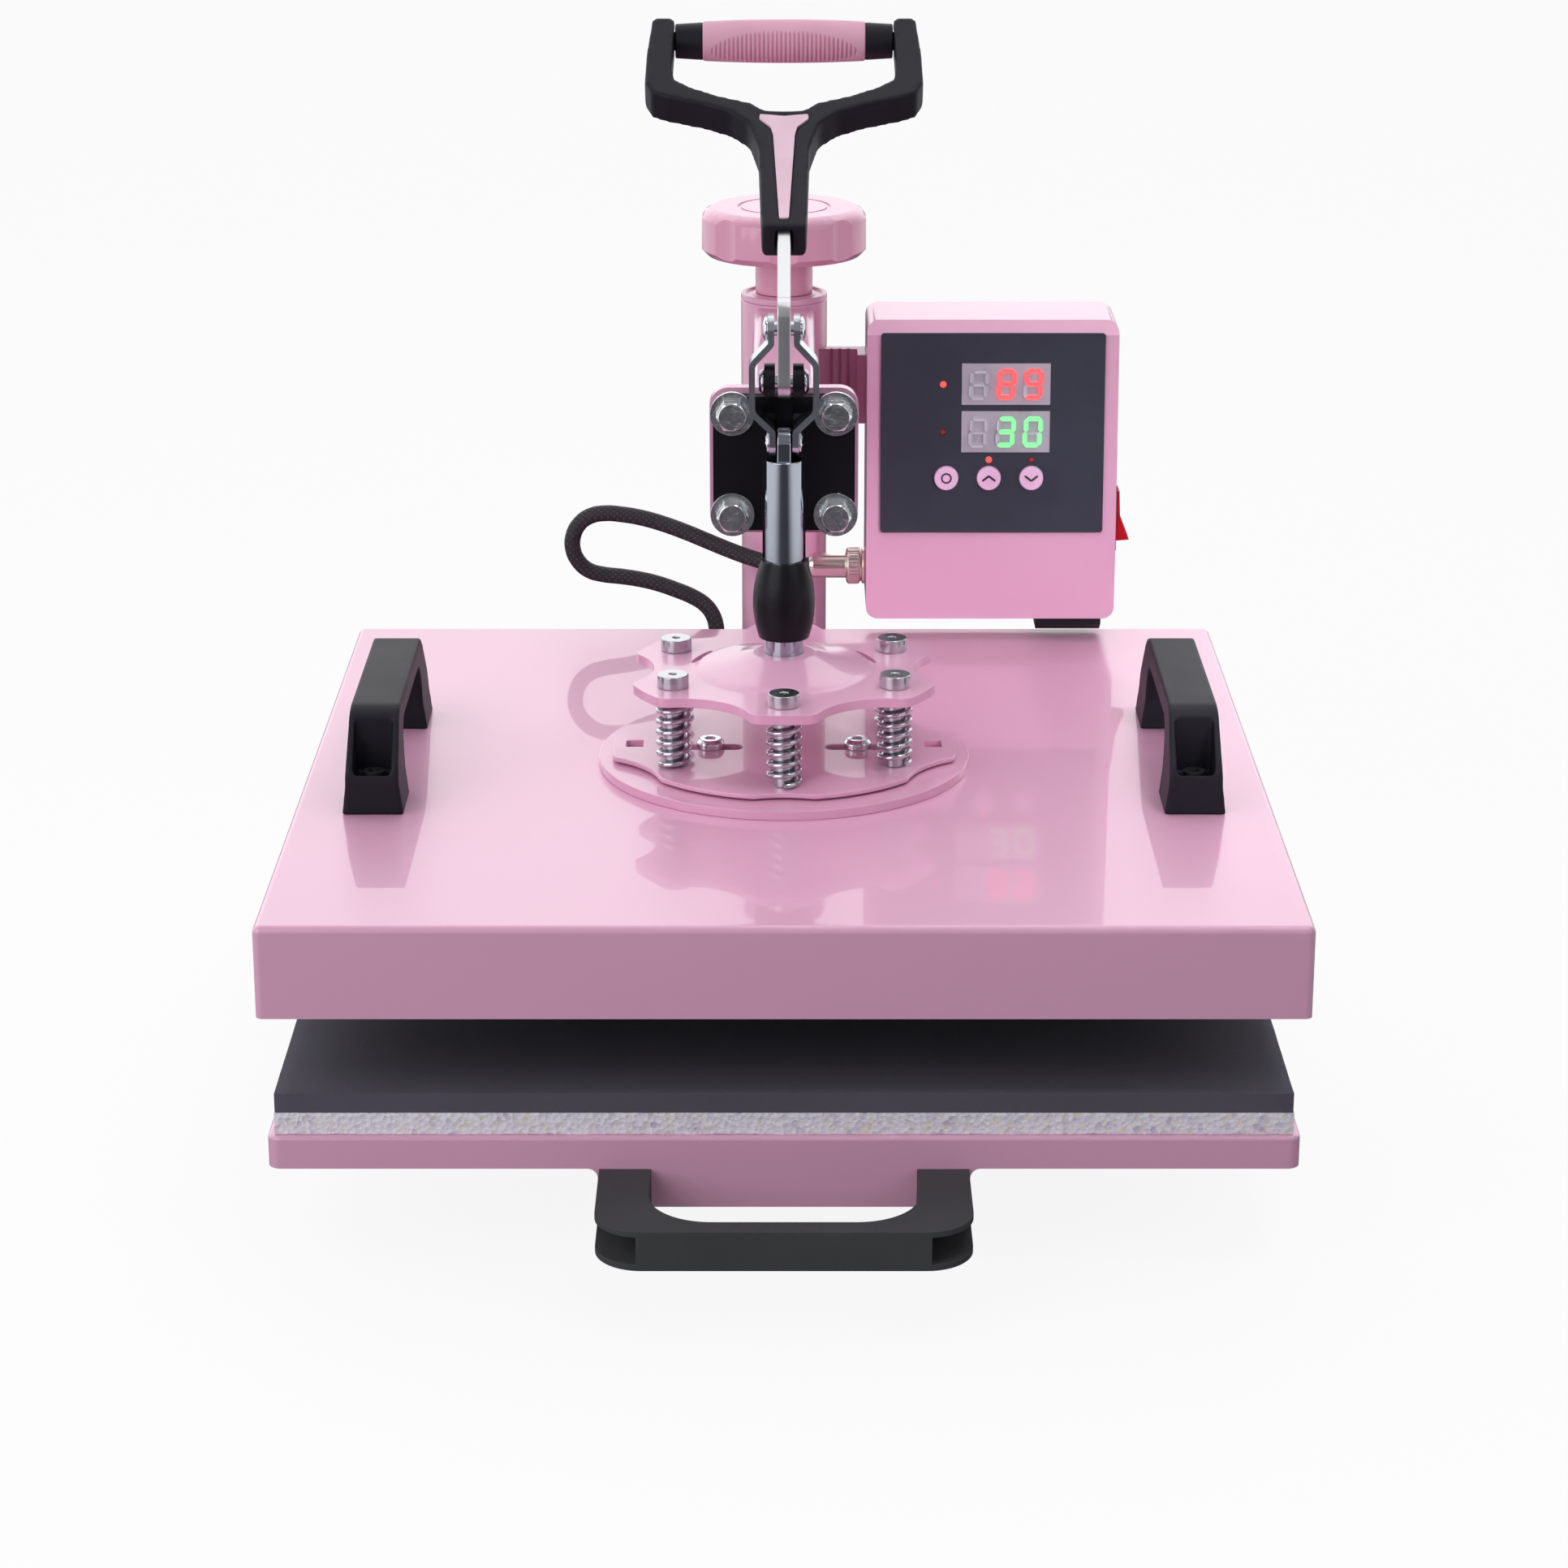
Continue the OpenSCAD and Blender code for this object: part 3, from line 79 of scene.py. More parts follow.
# %% Camera
MM = 0.001
PLATEN_Y = -8 * MM
PLATEN_TOP = 141.6 * MM
EYE_BACK = 1581.7 * MM
EYE_UP = 521.8 * MM
PITCH = math.radians(18.6)

eye = bpy.data.cameras.new("eye")
eye.lens, eye.sensor_width = 90.35, 36.0
eye_at = bpy.data.objects.new("eye", eye)
eye_at.location = (0, PLATEN_Y - EYE_BACK, PLATEN_TOP + EYE_UP)
eye_at.rotation_euler = (math.pi / 2 - PITCH, 0, 0)
bpy.context.scene.collection.objects.link(eye_at)
bpy.context.scene.camera = eye_at
bpy.context.scene.view_settings.view_transform = "Standard"
print("camera at", [round(v, 3) for v in eye_at.location])

# %% [markdown]
# ## Shader maths as Python
# A finish is a small graph of nodes. The first class wraps one socket, so that sums and products of
# sockets can be written as plain expressions. The second one holds a material and adds any node with
# its settings and its inputs.

# %% Sockets and finishes
class Value:
    def __init__(self, finish, socket):
        self.finish, self.socket = finish, socket

    def maths(self, operation, first, second):
        return self.finish.add("ShaderNodeMath", {"operation": operation}, {0: first, 1: second})

    def __add__(self, other):
        return self.maths("ADD", self, other)

    def __sub__(self, other):
        return self.maths("SUBTRACT", self, other)

    def __rsub__(self, other):
        return self.maths("SUBTRACT", other, self)

    def __mul__(self, other):
        return self.maths("MULTIPLY", self, other)

    __radd__ = __add__
    __rmul__ = __mul__


class Graph:
    def __init__(self, owner):
        owner.use_nodes = True
        self.tree = owner.node_tree

    def put(self, socket, value):
        if isinstance(value, Value):
            self.tree.links.new(value.socket, socket)
        else:
            socket.default_value = value

    def add(self, kind, settings=None, inputs=None, out=0):
        node = self.tree.nodes.new(kind)
        for name, value in (settings or {}).items():
            if name == "stops":
                ramp = node.color_ramp.elements
                while len(ramp) < len(value):
                    ramp.new(0.5)
                for stop, (at, colour) in zip(ramp, value):
                    stop.position, stop.color = at, colour
            else:
                setattr(node, name, value)
        for name, value in (inputs or {}).items():
            self.put(node.inputs[name], value)
        return Value(self, node.outputs[out])


class Finish(Graph):
    def __init__(self, name):
        self.material = bpy.data.materials.new(name)
        super().__init__(self.material)
        self.shader = self.tree.nodes["Principled BSDF"]
        self.place = self.add("ShaderNodeTexCoord", out="Object")

    def set(self, **sockets):
        for name, value in sockets.items():
            self.put(self.shader.inputs[name.replace("_", " ")], value)
        return self

    def noise(self, scale, detail=2.0, stretch=None):
        place = self.place
        if stretch:
            place = self.add("ShaderNodeMapping", inputs={"Vector": place, "Scale": stretch})
        return self.add("ShaderNodeTexNoise", inputs={"Vector": place, "Scale": scale, "Detail": detail})

    def between(self, factor, low, high):
        mix = {"data_type": "RGBA"}
        return self.add("ShaderNodeMix", mix, {"Factor": factor, 6: low, 7: high}, out=2)

    def bumps(self, height, strength, depth):
        bump = {"Strength": strength, "Distance": depth, "Height": height}
        return self.set(Normal=self.add("ShaderNodeBump", inputs=bump))


def paint(red, green, blue):
    """Colour as it looks on a screen, from 0 to 255, turned into the light it stands for."""
    parts = [c / 255 for c in (red, green, blue)]
    return [c / 12.92 if c <= 0.04045 else ((c + 0.055) / 1.055) ** 2.4 for c in parts] + [1.0]


def shade(colour, amount):
    return [min(c * amount, 1.0) for c in colour[:3]] + [1.0]


# %% Floor, world and lamps
FLOOR_SIDE, LANE_IN, LANE_OUT = 80, 0.3, 1.0
SEEN_FLOOR, LIT_FLOOR, LANE_FLOOR = (0.86, 0.86, 0.87, 1), (0.3, 0.3, 0.31, 1), (0.05, 0.05, 0.06, 1)
FLOOR_GLOW = 0.9
FRONT_LIGHT, BACK_LIGHT, SIDE_LEAN = 0.27, 1.5, -0.2
FADE_FROM, FADE_TO = -0.15, 0.85


def deselect():
    if bpy.context.object and bpy.context.object.mode != "OBJECT":
        bpy.ops.object.mode_set(mode="OBJECT")
    bpy.ops.object.select_all(action="DESELECT")


deselect()
bpy.ops.mesh.primitive_plane_add(size=FLOOR_SIDE, location=(0, 0, 0))
floor = bpy.context.object
floor.name = "studio_floor"
ground = Finish("studio_white")
seen = ground.add("ShaderNodeLightPath", out="Is Camera Ray")
across = ground.add("ShaderNodeSeparateXYZ", inputs={0: ground.place}, out=0)
aside = ground.add("ShaderNodeMapRange", {"interpolation_type": "SMOOTHSTEP"},
                   {"Value": ground.add("ShaderNodeMath", {"operation": "ABSOLUTE"}, {0: across}),
                    "From Min": LANE_IN, "From Max": LANE_OUT, "To Min": 0.0, "To Max": 1.0})
mirrored = ground.add("ShaderNodeLightPath", out="Is Glossy Ray")
unseen = ground.between(mirrored, LIT_FLOOR, LANE_FLOOR)
ground.set(Base_Color=ground.between(seen, unseen, SEEN_FLOOR), Roughness=0.9)
glow = ground.add("ShaderNodeEmission", inputs={"Color": (1, 1, 1, 1), "Strength": 1.0})
own = Value(ground, ground.shader.outputs[0])
glowing = seen * FLOOR_GLOW + mirrored * aside
shown = ground.add("ShaderNodeMixShader", inputs={0: glowing, 1: own, 2: glow})
ground.tree.links.new(shown.socket, ground.tree.nodes["Material Output"].inputs["Surface"])
floor.data.materials.append(ground.material)

world = bpy.data.worlds.new("studio")
bpy.context.scene.world = world
sky = Graph(world)
way = sky.add("ShaderNodeTexCoord", out="Generated")
side, deep = (sky.add("ShaderNodeSeparateXYZ", inputs={0: way}, out=i) for i in (0, 1))
spread = {"From Min": FADE_FROM, "From Max": FADE_TO, "To Min": FRONT_LIGHT, "To Max": BACK_LIGHT}
bright = sky.add("ShaderNodeMapRange", {"interpolation_type": "SMOOTHSTEP"},
                 {"Value": deep + side * SIDE_LEAN, **spread})
backdrop = sky.add("ShaderNodeLightPath", out="Is Camera Ray")
background = sky.tree.nodes["Background"].inputs
sky.put(background["Strength"], bright * (1 - backdrop) + backdrop)
sky.put(background["Color"], (1, 1, 1, 1))


def lamp(name, at, aim, size, power, cone=180):
    light = bpy.data.lights.new(name, "AREA")
    light.shape, light.size, light.energy = "SQUARE", size, power
    light.spread = math.radians(cone)
    holder = bpy.data.objects.new(name, light)
    holder.location = at
    holder.rotation_euler = (Vector(aim) - Vector(at)).to_track_quat("-Z", "Y").to_euler()
    bpy.context.scene.collection.objects.link(holder)


lamp("top_softbox", (0.35, 0.2, 1.9), (0.05, 0, 0.15), 1.4, 3.6)
lamp("left_softbox", (-1.0, -1.0, 0.8), (0, 0, 0.2), 1.3, 10.6)
lamp("right_softbox", (1.3, -0.9, 1.0), (0.1, 0.1, 0.25), 0.8, 2.4)
lamp("platen_spot", (0.45, -0.35, 1.4), (0.13, 0.03, 0.14), 0.4, 0.14, 22)
lamp("box_spot", (0.75, -1.1, 0.7), (0.11, 0.17, 0.17), 0.1, 0.055, 13)

# %% [markdown]
# ## Finishes
# Powder coat is thick gloss paint with a faint orange peel. Moulded black plastic is dull with a fine
# grain. Plated steel is bright, with a little haze from handling, the zinc on bolts is stained and faintly
# dented, and brushed steel has lines along one way. The sponge pad is matt with tiny pores, and the foam
# under it is pressed from pale crumbs.

# %% Paint and plastic
PINK = paint(235, 176, 209)


def powder_coat(name, colour, gloss):
    f = Finish(name)
    drift, peel = f.noise(7, 3), f.noise(900, 2)
    f.set(Base_Color=f.between(drift, colour, shade(colour, 0.93)), Roughness=gloss + drift * 0.08)
    f.set(Coat_Weight=0.65, Coat_Roughness=0.02)
    return f.bumps(peel, 0.02, 0.0002)


def moulding(name, colour, gloss, grain):
    f = Finish(name)
    drift, fine = f.noise(35, 4), f.noise(2600, 2)
    f.set(Base_Color=f.between(drift, shade(colour, 0.85), shade(colour, 1.25)))
    f.set(Roughness=gloss + drift * 0.12, Specular_IOR_Level=0.25, Specular_Tint=(0.9, 0.88, 1, 1))
    return f.bumps(fine, grain, 0.0002)


powder_pink = powder_coat("powder_pink", PINK, 0.3)
# A darker, duller pink for the bracket: painted shade, standing for the shadow that the bracket lies in.
bracket_pink_painted_shade = powder_coat("bracket_pink_painted_shade", paint(178, 118, 146), 0.45)
knob_pink = powder_coat("knob_pink", paint(236, 166, 198), 0.32)
grip_pink = moulding("grip_pink", paint(236, 177, 199), 0.6, 0.1)
inlay_pink = moulding("inlay_pink", paint(236, 200, 218), 0.55, 0.08)
black_plastic = moulding("black_plastic", paint(25, 25, 33), 0.46, 0.2)
black_cast = moulding("black_cast", paint(15, 14, 18), 0.3, 0.06)
handle_grey = moulding("handle_grey", paint(70, 71, 73), 0.55, 0.3)
foot_rubber = moulding("foot_rubber", paint(40, 39, 42), 0.75, 0.25)
red_rocker = moulding("red_rocker", paint(200, 24, 38), 0.16, 0.02)
button_pink = moulding("button_pink", paint(250, 196, 232), 0.35, 0.03)
board_green = moulding("board_green", paint(40, 96, 66), 0.5, 0.05)
mat_white = moulding("mat_white", paint(225, 221, 208), 0.9, 0.4)


# %% Metals
def metal(name, colour, gloss, haze, stretch=None, stain=(60, 0.9), dents=(500, 0.08, 0.0001)):
    f = Finish(name)
    (patch, dark), (fine, strength, depth) = stain, dents
    drift, lines = f.noise(patch, 4), f.noise(fine, 3, stretch)
    f.set(Base_Color=f.between(drift, shade(colour, dark), colour), Metallic=1.0)
    f.set(Roughness=gloss + drift * haze)
    return f.bumps(lines, strength, depth)


chrome = metal("chrome", [0.77, 0.79, 0.85, 1], 0.08, 0.08)
spring_steel = metal("spring_steel", [0.6, 0.62, 0.67, 1], 0.12, 0.08)
# Darker steel for the shoulder bolts: painted shade, for the shadow on their shanks inside the springs.
bolt_steel_painted_shade = metal("bolt_steel_painted_shade", [0.55, 0.56, 0.6, 1], 0.18, 0.12)
# Darker than the chrome: a painted dark reflection, standing for the dark surroundings that the ram
# mirrors.
ram_steel_painted_reflection = metal("ram_steel_painted_reflection", [0.45, 0.48, 0.56, 1], 0.07, 0.06)
link_steel = metal("link_steel", [0.66, 0.69, 0.76, 1], 0.16, 0.12)
zinc = metal("zinc", [0.94, 0.96, 1.0, 1], 0.12, 0.14, stain=(300, 0.7), dents=(280, 0.9, 0.0004))
bar_steel = metal("bar_steel", [0.72, 0.73, 0.75, 1], 0.24, 0.12, (0.05, 1, 1))
nickel = metal("nickel", [0.8, 0.7, 0.65, 1], 0.1, 0.1)
bronze = metal("bronze", [0.62, 0.45, 0.22, 1], 0.3, 0.15)
plate_dark = metal("plate_dark", [0.10, 0.10, 0.11, 1], 0.45, 0.1)


# %% Sponge and foam
def sponge(name, colour):
    f = Finish(name)
    pores, drift = f.noise(1500, 3), f.noise(14, 3)
    f.set(Base_Color=f.between(drift, shade(colour, 0.88), shade(colour, 1.14)))
    f.set(Roughness=0.78 + pores * 0.15)
    return f.bumps(pores, 0.45, 0.0004)


def crumbs(name):
    f = Finish(name)
    cells = {"Vector": f.place, "Scale": 480.0, "Randomness": 1.0}
    tint = f.add("ShaderNodeTexVoronoi", inputs=cells, out="Color")
    gap = f.add("ShaderNodeTexVoronoi", inputs=cells, out="Distance")
    part = f.add("ShaderNodeSeparateColor", inputs={"Color": tint}, out="Red")
    stops = [(0.0, paint(243, 240, 249)), (0.6, paint(238, 234, 247)), (0.78, paint(222, 217, 239)),
             (0.9, paint(244, 236, 222)), (1.0, paint(204, 197, 226))]
    mottle = f.add("ShaderNodeValToRGB", {"stops": stops}, {"Fac": part})
    f.set(Base_Color=mottle, Roughness=0.95)
    return f.bumps(gap + f.noise(1200, 3) * 0.5, 0.6, 0.0008)


pad_sponge = sponge("pad_sponge", paint(86, 82, 96))
foam_crumbs = crumbs("foam_crumbs")


# %% Panel, display and cable
def lit(name, colour, strength):
    f = Finish(name)
    flicker = f.noise(120, 1)
    f.set(Base_Color=shade(colour, 0.6), Roughness=0.4, Emission_Strength=strength)
    return f.set(Emission_Color=f.between(flicker, shade(colour, 0.9), colour))


panel_film = moulding("panel_film", paint(56, 58, 70), 0.34, 0.05)
window_grey = moulding("window_grey", paint(178, 172, 186), 0.22, 0.02)
segment_dim = moulding("segment_dim", paint(206, 204, 214), 0.4, 0.02)
digit_red = lit("digit_red", paint(255, 92, 96), 1.2)
digit_green = lit("digit_green", paint(132, 228, 152), 1.0)
lamp_red = lit("lamp_red", paint(255, 84, 76), 1.1)
lamp_dim = moulding("lamp_dim", paint(150, 52, 56), 0.3, 0.02)
mark_dark = moulding("mark_dark", paint(70, 52, 66), 0.5, 0.02)


def braid(name):
    f = Finish(name)
    waves = {"wave_type": "BANDS", "bands_direction": "DIAGONAL"}
    one = f.add("ShaderNodeTexWave", waves, {"Vector": f.place, "Scale": 210.0}, out="Fac")
    turned = f.add("ShaderNodeMapping", inputs={"Vector": f.place, "Scale": (-1, 1, 1)})
    two = f.add("ShaderNodeTexWave", waves, {"Vector": turned, "Scale": 210.0}, out="Fac")
    weave = one * two
    f.set(Base_Color=f.between(weave, paint(30, 28, 32), paint(66, 62, 68)), Roughness=0.62)
    return f.bumps(weave, 0.5, 0.0004)


cable_braid = braid("cable_braid")
print("finishes", len(bpy.data.materials))

# %% [markdown]
# ## Edges on the carried-over solids
# A solid from the model has knife-sharp edges, and nothing real has them: an edge is what catches the
# light. Each visible solid is copied, its loose triangles are merged into faces, and a bevel rounds its
# sharp edges by the amount that the real piece has: little on machined steel, more on mouldings.


# %% A softened copy of a node
def only(piece):
    deselect()
    piece.select_set(True)
    bpy.context.view_layer.objects.active = piece


def finish_piece(piece, body, finish, replaced=()):
    piece.data.materials.clear()
    piece.data.materials.append(finish.material)
    if replaced:
        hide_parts(*replaced)
    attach(piece, body)
    return piece


def smooth(piece, angle=35):
    only(piece)
    bpy.ops.object.shade_smooth_by_angle(angle=math.radians(angle))
    flat = piece.modifiers.new("flat_faces", "WEIGHTED_NORMAL")
    flat.mode, flat.weight, flat.keep_sharp = "FACE_AREA", 80, True
    bpy.ops.object.modifier_apply(modifier=flat.name)


def bevel(piece, width, steps, angle=35):
    only(piece)
    rounder = piece.modifiers.new("edges", "BEVEL")
    rounder.width, rounder.segments = width, steps
    rounder.limit_method, rounder.angle_limit = "ANGLE", math.radians(angle)
    bpy.ops.object.modifier_apply(modifier=rounder.name)


def merged_copy(node):
    deselect()
    nodes[node].select_set(True)
    bpy.context.view_layer.objects.active = nodes[node]
    bpy.ops.object.duplicate()
    piece = bpy.context.object
    piece.name = node + "_dressed"
    piece.parent = None
    piece.matrix_world = Matrix.Identity(4)
    for key in [k for k in piece.keys() if k.startswith("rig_")]:
        del piece[key]
    bpy.ops.object.mode_set(mode="EDIT")
    bpy.ops.mesh.select_all(action="SELECT")
    bpy.ops.mesh.remove_doubles(threshold=4e-6)
    bpy.ops.mesh.dissolve_limited(angle_limit=math.radians(0.8))
    bpy.ops.object.mode_set(mode="OBJECT")
    return piece


def soften(node, finish, width, steps=2, angle=35):
    piece = merged_copy(node)
    if width:
        bevel(piece, width * MM, steps, angle)
    smooth(piece)
    return finish_piece(piece, body_of_node[node], finish, [node])


# %% Edges picked by place
def round_picked(piece, picked, width, steps):
    only(piece)
    bpy.ops.object.mode_set(mode="EDIT")
    bpy.ops.mesh.select_all(action="DESELECT")
    bpy.ops.object.mode_set(mode="OBJECT")
    points = [v.co.copy() for v in piece.data.vertices]
    for e in piece.data.edges:
        e.select = picked(points[e.vertices[0]], points[e.vertices[1]])
    bpy.ops.object.mode_set(mode="EDIT")
    bpy.ops.mesh.select_mode(type="EDGE")
    bpy.ops.mesh.bevel(offset=width, segments=steps, affect="EDGES", clamp_overlap=True)
    bpy.ops.object.mode_set(mode="OBJECT")


def rim_gap(point, low, high, corner, axes):
    """How far a point is inside the rounded outline of a box, seen along its third axis."""
    past = [abs(point[i] - (low[i] + high[i]) / 2) - (high[i] - low[i]) / 2 + corner for i in axes]
    beyond = math.hypot(*(max(p, 0) for p in past))
    return corner - beyond - min(max(past), 0)


# %% [markdown]
# ## Sheet metal and castings
# Folded sheet has round outer bends and crisp cut edges. A bevel all over would soften both, so on the
# tray only the rim is rounded, with its edges picked by their place. The bends of the platen's cover are
# in its solid already, and the other plates and tubes take one narrow bevel.

# %% Sheet metal and castings
TRAY_CORNER, NEAR = 5 * MM, 0.1 * MM
tray = merged_copy("lower_tray")
tray_low, tray_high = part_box("lower_tray")


def on_tray_rim(point):
    inside = rim_gap(point, tray_low, tray_high, TRAY_CORNER, (0, 1))
    return abs(point.z - tray_high.z) < NEAR and inside < 2 * NEAR


round_picked(tray, lambda a, b: on_tray_rim(a) and on_tray_rim(b), 1.5 * MM, 4)
smooth(tray)
finish_piece(tray, "drawer", powder_pink, ["lower_tray"])
for name, width in {"platen_cover": 0, "ring_plate": 0.8, "star_plate": 0.9,
                    "mount_plate": 1.0, "swing_arm": 0.8, "column_sleeve": 0.6, "column_cap": 0.6,
                    "base_rails": 0.5, "base_crossmembers": 1.0}.items():
    soften(name, powder_pink, width)
# The bracket takes the darker pink with painted shade in it.
soften("box_bracket", bracket_pink_painted_shade, 0.3)
soften("toggle_body", black_cast, 0.9, 3)
print("tray faces", len(tray.data.polygons))

# %% [markdown]
# ## Quick-change plate
# The plate lies on its middle, and its pressed rim stands a little off the ring below it. That thin dark
# gap shows that they are two plates, so the rim's lower points are lifted before the bevel.

# %% Quick-change plate
RIM_R, EAR_R, EAR_SLOT, RIM_LIFT = 63 * MM, 70 * MM, 8 * MM, 0.9 * MM
quick = merged_copy("quick_change_plate")
quick_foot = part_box("quick_change_plate")[0].z
for v in quick.data.vertices:
    r, off = math.hypot(v.co.x, v.co.y - PLATEN_Y), abs(v.co.y - PLATEN_Y)
    if v.co.z < quick_foot + NEAR and r > RIM_R and (off > EAR_SLOT or r > EAR_R):
        v.co.z += RIM_LIFT
bevel(quick, 0.5 * MM, 2)
smooth(quick)
finish_piece(quick, "platen", powder_pink, ["quick_change_plate"])
print("quick-change plate faces", len(quick.data.polygons))

# %% [markdown]
# ## Mouldings
# Most mouldings take a bevel of three steps. The yoke and the two top handles are soft all round, and a
# bevel breaks up where so many edges meet, so they are remeshed finely and then smoothed.

# %% Mouldings
for name, width in {"grip_core": 0.5, "mains_gland": 1.2, "cable_gland": 0.6,
                    "switch_frame": 0.6}.items():
    soften(name, black_plastic, width, 3)
soften("drawer_handle", handle_grey, 1.4, 3)


def melt(node, finish, voxel, passes):
    piece = merged_copy(node)
    only(piece)
    skin = piece.modifiers.new("skin", "REMESH")
    skin.mode, skin.voxel_size = "VOXEL", voxel * MM
    bpy.ops.object.modifier_apply(modifier=skin.name)
    even = piece.modifiers.new("even", "SMOOTH")
    even.factor, even.iterations = 0.5, passes
    bpy.ops.object.modifier_apply(modifier=even.name)
    bpy.ops.object.shade_smooth()
    return finish_piece(piece, body_of_node[node], finish, [node])


MELTED = {"handle_yoke": (0.8, 14), "platen_handle_left": (0.7, 5), "platen_handle_right": (0.7, 5)}
for name, (voxel, passes) in MELTED.items():
    moulded = melt(name, black_plastic, voxel, passes)
    print(name, "faces", len(moulded.data.polygons))
soften("pressure_knob", knob_pink, 1.6, 3)
soften("yoke_insert", inlay_pink, 0.3)
soften("power_rocker", red_rocker, 0.8, 3)
soften("rubber_feet", foot_rubber, 0.8)

# %% [markdown]
# ## Hand grip
# The grip swells a little towards its middle. A lens-shaped patch of ribs faces the hand: a flat grid is
# rolled round the axis, and the radius drops between the ribs inside the patch.

# %% Ribbed grip
GRIP_R, SWELL = 8.5 * MM, 0.9 * MM
RIB_PITCH, RIB_DEPTH, PATCH = 1.9 * MM, 1.1 * MM, 32 * MM
FACING, PATCH_TURN, FADE = -24.0, 59.0, 7.0
END_LONG, END_DROP = 0.8 * MM, 0.5 * MM
grip_low, grip_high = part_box("hand_grip")
grip_mid, grip_long = (grip_low + grip_high) / 2, grip_high.x - grip_low.x


def grip_radius(x, turn):
    away = abs((turn - FACING + 180) % 360 - 180)
    reach = PATCH_TURN * math.sqrt(max(0.0, 1 - (x / PATCH) ** 2))
    inside = min(max((reach - away) / FADE, 0.0), 1.0)
    groove = (0.5 - 0.5 * math.cos(2 * math.pi * x / RIB_PITCH)) ** 2
    ends = min((grip_long / 2 - abs(x)) / END_LONG, 1.0) - 1
    swell = SWELL * (1 - (2 * x / grip_long) ** 2)
    return GRIP_R + swell - RIB_DEPTH * inside * groove - END_DROP * ends ** 2


deselect()
bpy.ops.mesh.primitive_grid_add(x_subdivisions=360, y_subdivisions=72, size=1)
grip = bpy.context.object
grip.name = "ribbed_grip"
for v in grip.data.vertices:
    x, turn = v.co.x * grip_long, v.co.y * 360
    outward = Vector((0, -math.cos(math.radians(turn)), math.sin(math.radians(turn))))
    v.co = grip_mid + Vector((x, 0, 0)) + outward * grip_radius(x, turn)
bpy.ops.object.mode_set(mode="EDIT")
bpy.ops.mesh.select_all(action="SELECT")
bpy.ops.mesh.remove_doubles(threshold=1e-6)
bpy.ops.mesh.select_mode(type="EDGE")
bpy.ops.mesh.select_all(action="DESELECT")
bpy.ops.mesh.select_non_manifold()
bpy.ops.mesh.fill_holes(sides=100)
bpy.ops.mesh.select_all(action="SELECT")
bpy.ops.mesh.normals_make_consistent(inside=False)
bpy.ops.object.mode_set(mode="OBJECT")
smooth(grip, 50)
finish_piece(grip, "lever", grip_pink, ["hand_grip"])
print("grip faces", len(grip.data.polygons))

# %% [markdown]
# ## Metal parts
# Turned and plated parts have narrow bevels. Three of them need more than that: the shoulder bolts get a
# smaller recess, with its points drawn in towards each bolt's axis, the lever bar is made thinner, and
# the plug's nut gets a knurl, where every second point round a short cylinder is pulled in.

# %% Bevelled metal
# The ram takes the darkened steel with the painted dark reflection.
for name, (finish, width) in {"ram_rod": (ram_steel_painted_reflection, 0.6),
                              "lock_screws": (zinc, 0.3), "toggle_bolts": (zinc, 0.4),
                              "toggle_links": (link_steel, 0.5), "link_rivets": (chrome, 0.3),
                              "crank_pin": (chrome, 0.3), "lever_pivot_pin": (zinc, 0.3),
                              "heater_socket": (nickel, 0.6),
                              "heater_plug": (nickel, 0.5), "platen_handle_screws": (plate_dark, 0.3),
                              "drawer_handle_screws": (zinc, 0.3), "heat_plate": (plate_dark, 1.0),
                              "column_post": (bar_steel, 0.6), "lift_screw": (bar_steel, 0),
                              "lift_bushes": (bronze, 0.3), "drawer_guides": (zinc, 0.2),
                              "drawer_runners": (zinc, 0.2)}.items():
    soften(name, finish, width)

# %% Shoulder bolts
BOLT_RING, SOCKET_R, SOCKET_DEEP, SOCKET_SHARE = 53 * MM, 3.8 * MM, 2.8 * MM, 0.5
bolt_turns = [math.radians(30 + 60 * i) for i in range(6)]
bolt_spots = [Vector((BOLT_RING * math.cos(t), PLATEN_Y + BOLT_RING * math.sin(t))) for t in bolt_turns]
bolts = merged_copy("spring_bolts")
bolt_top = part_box("spring_bolts")[1].z
for v in bolts.data.vertices:
    spot = min(bolt_spots, key=lambda s: (v.co.xy - s).length)
    if v.co.z > bolt_top - SOCKET_DEEP and (v.co.xy - spot).length < SOCKET_R:
        v.co.xy = spot + (v.co.xy - spot) * SOCKET_SHARE
bevel(bolts, 0.6 * MM, 3)
smooth(bolts)
# The shoulder bolts take the darkened steel with painted shade.
finish_piece(bolts, "platen", bolt_steel_painted_shade, ["spring_bolts"])

# %% Lever bar
BAR_SHARE = 0.8
bar = merged_copy("lever_bar")
bar.data.transform(Matrix.Diagonal((BAR_SHARE, 1, 1, 1)))
bevel(bar, 0.8 * MM, 2)
smooth(bar)
finish_piece(bar, "lever", bar_steel, ["lever_bar"])

# %% Knurled nut
KNURL_X, KNURL_LONG, KNURL_R, KNURLS, KNURL_SHARE = 32.4 * MM, 5.0 * MM, 8.9 * MM, 34, 0.94
plug_low, plug_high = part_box("heater_plug")
plug_mid = (plug_low + plug_high) / 2
deselect()
bpy.ops.mesh.primitive_cylinder_add(vertices=2 * KNURLS, radius=KNURL_R, depth=KNURL_LONG,
                                    location=(KNURL_X, plug_mid.y, plug_mid.z),
                                    rotation=(0, math.pi / 2, 0))
knurl = bpy.context.object
knurl.name = "plug_knurl"
for v in knurl.data.vertices:
    step = round(math.atan2(v.co.y, v.co.x) / math.pi * KNURLS)
    v.co.x, v.co.y = (c * (KNURL_SHARE if step % 2 else 1.0) for c in v.co.xy)
bpy.ops.object.transform_apply()
bevel(knurl, 0.5 * MM, 2, 70)
smooth(knurl, 20)
finish_piece(knurl, "head", nickel)


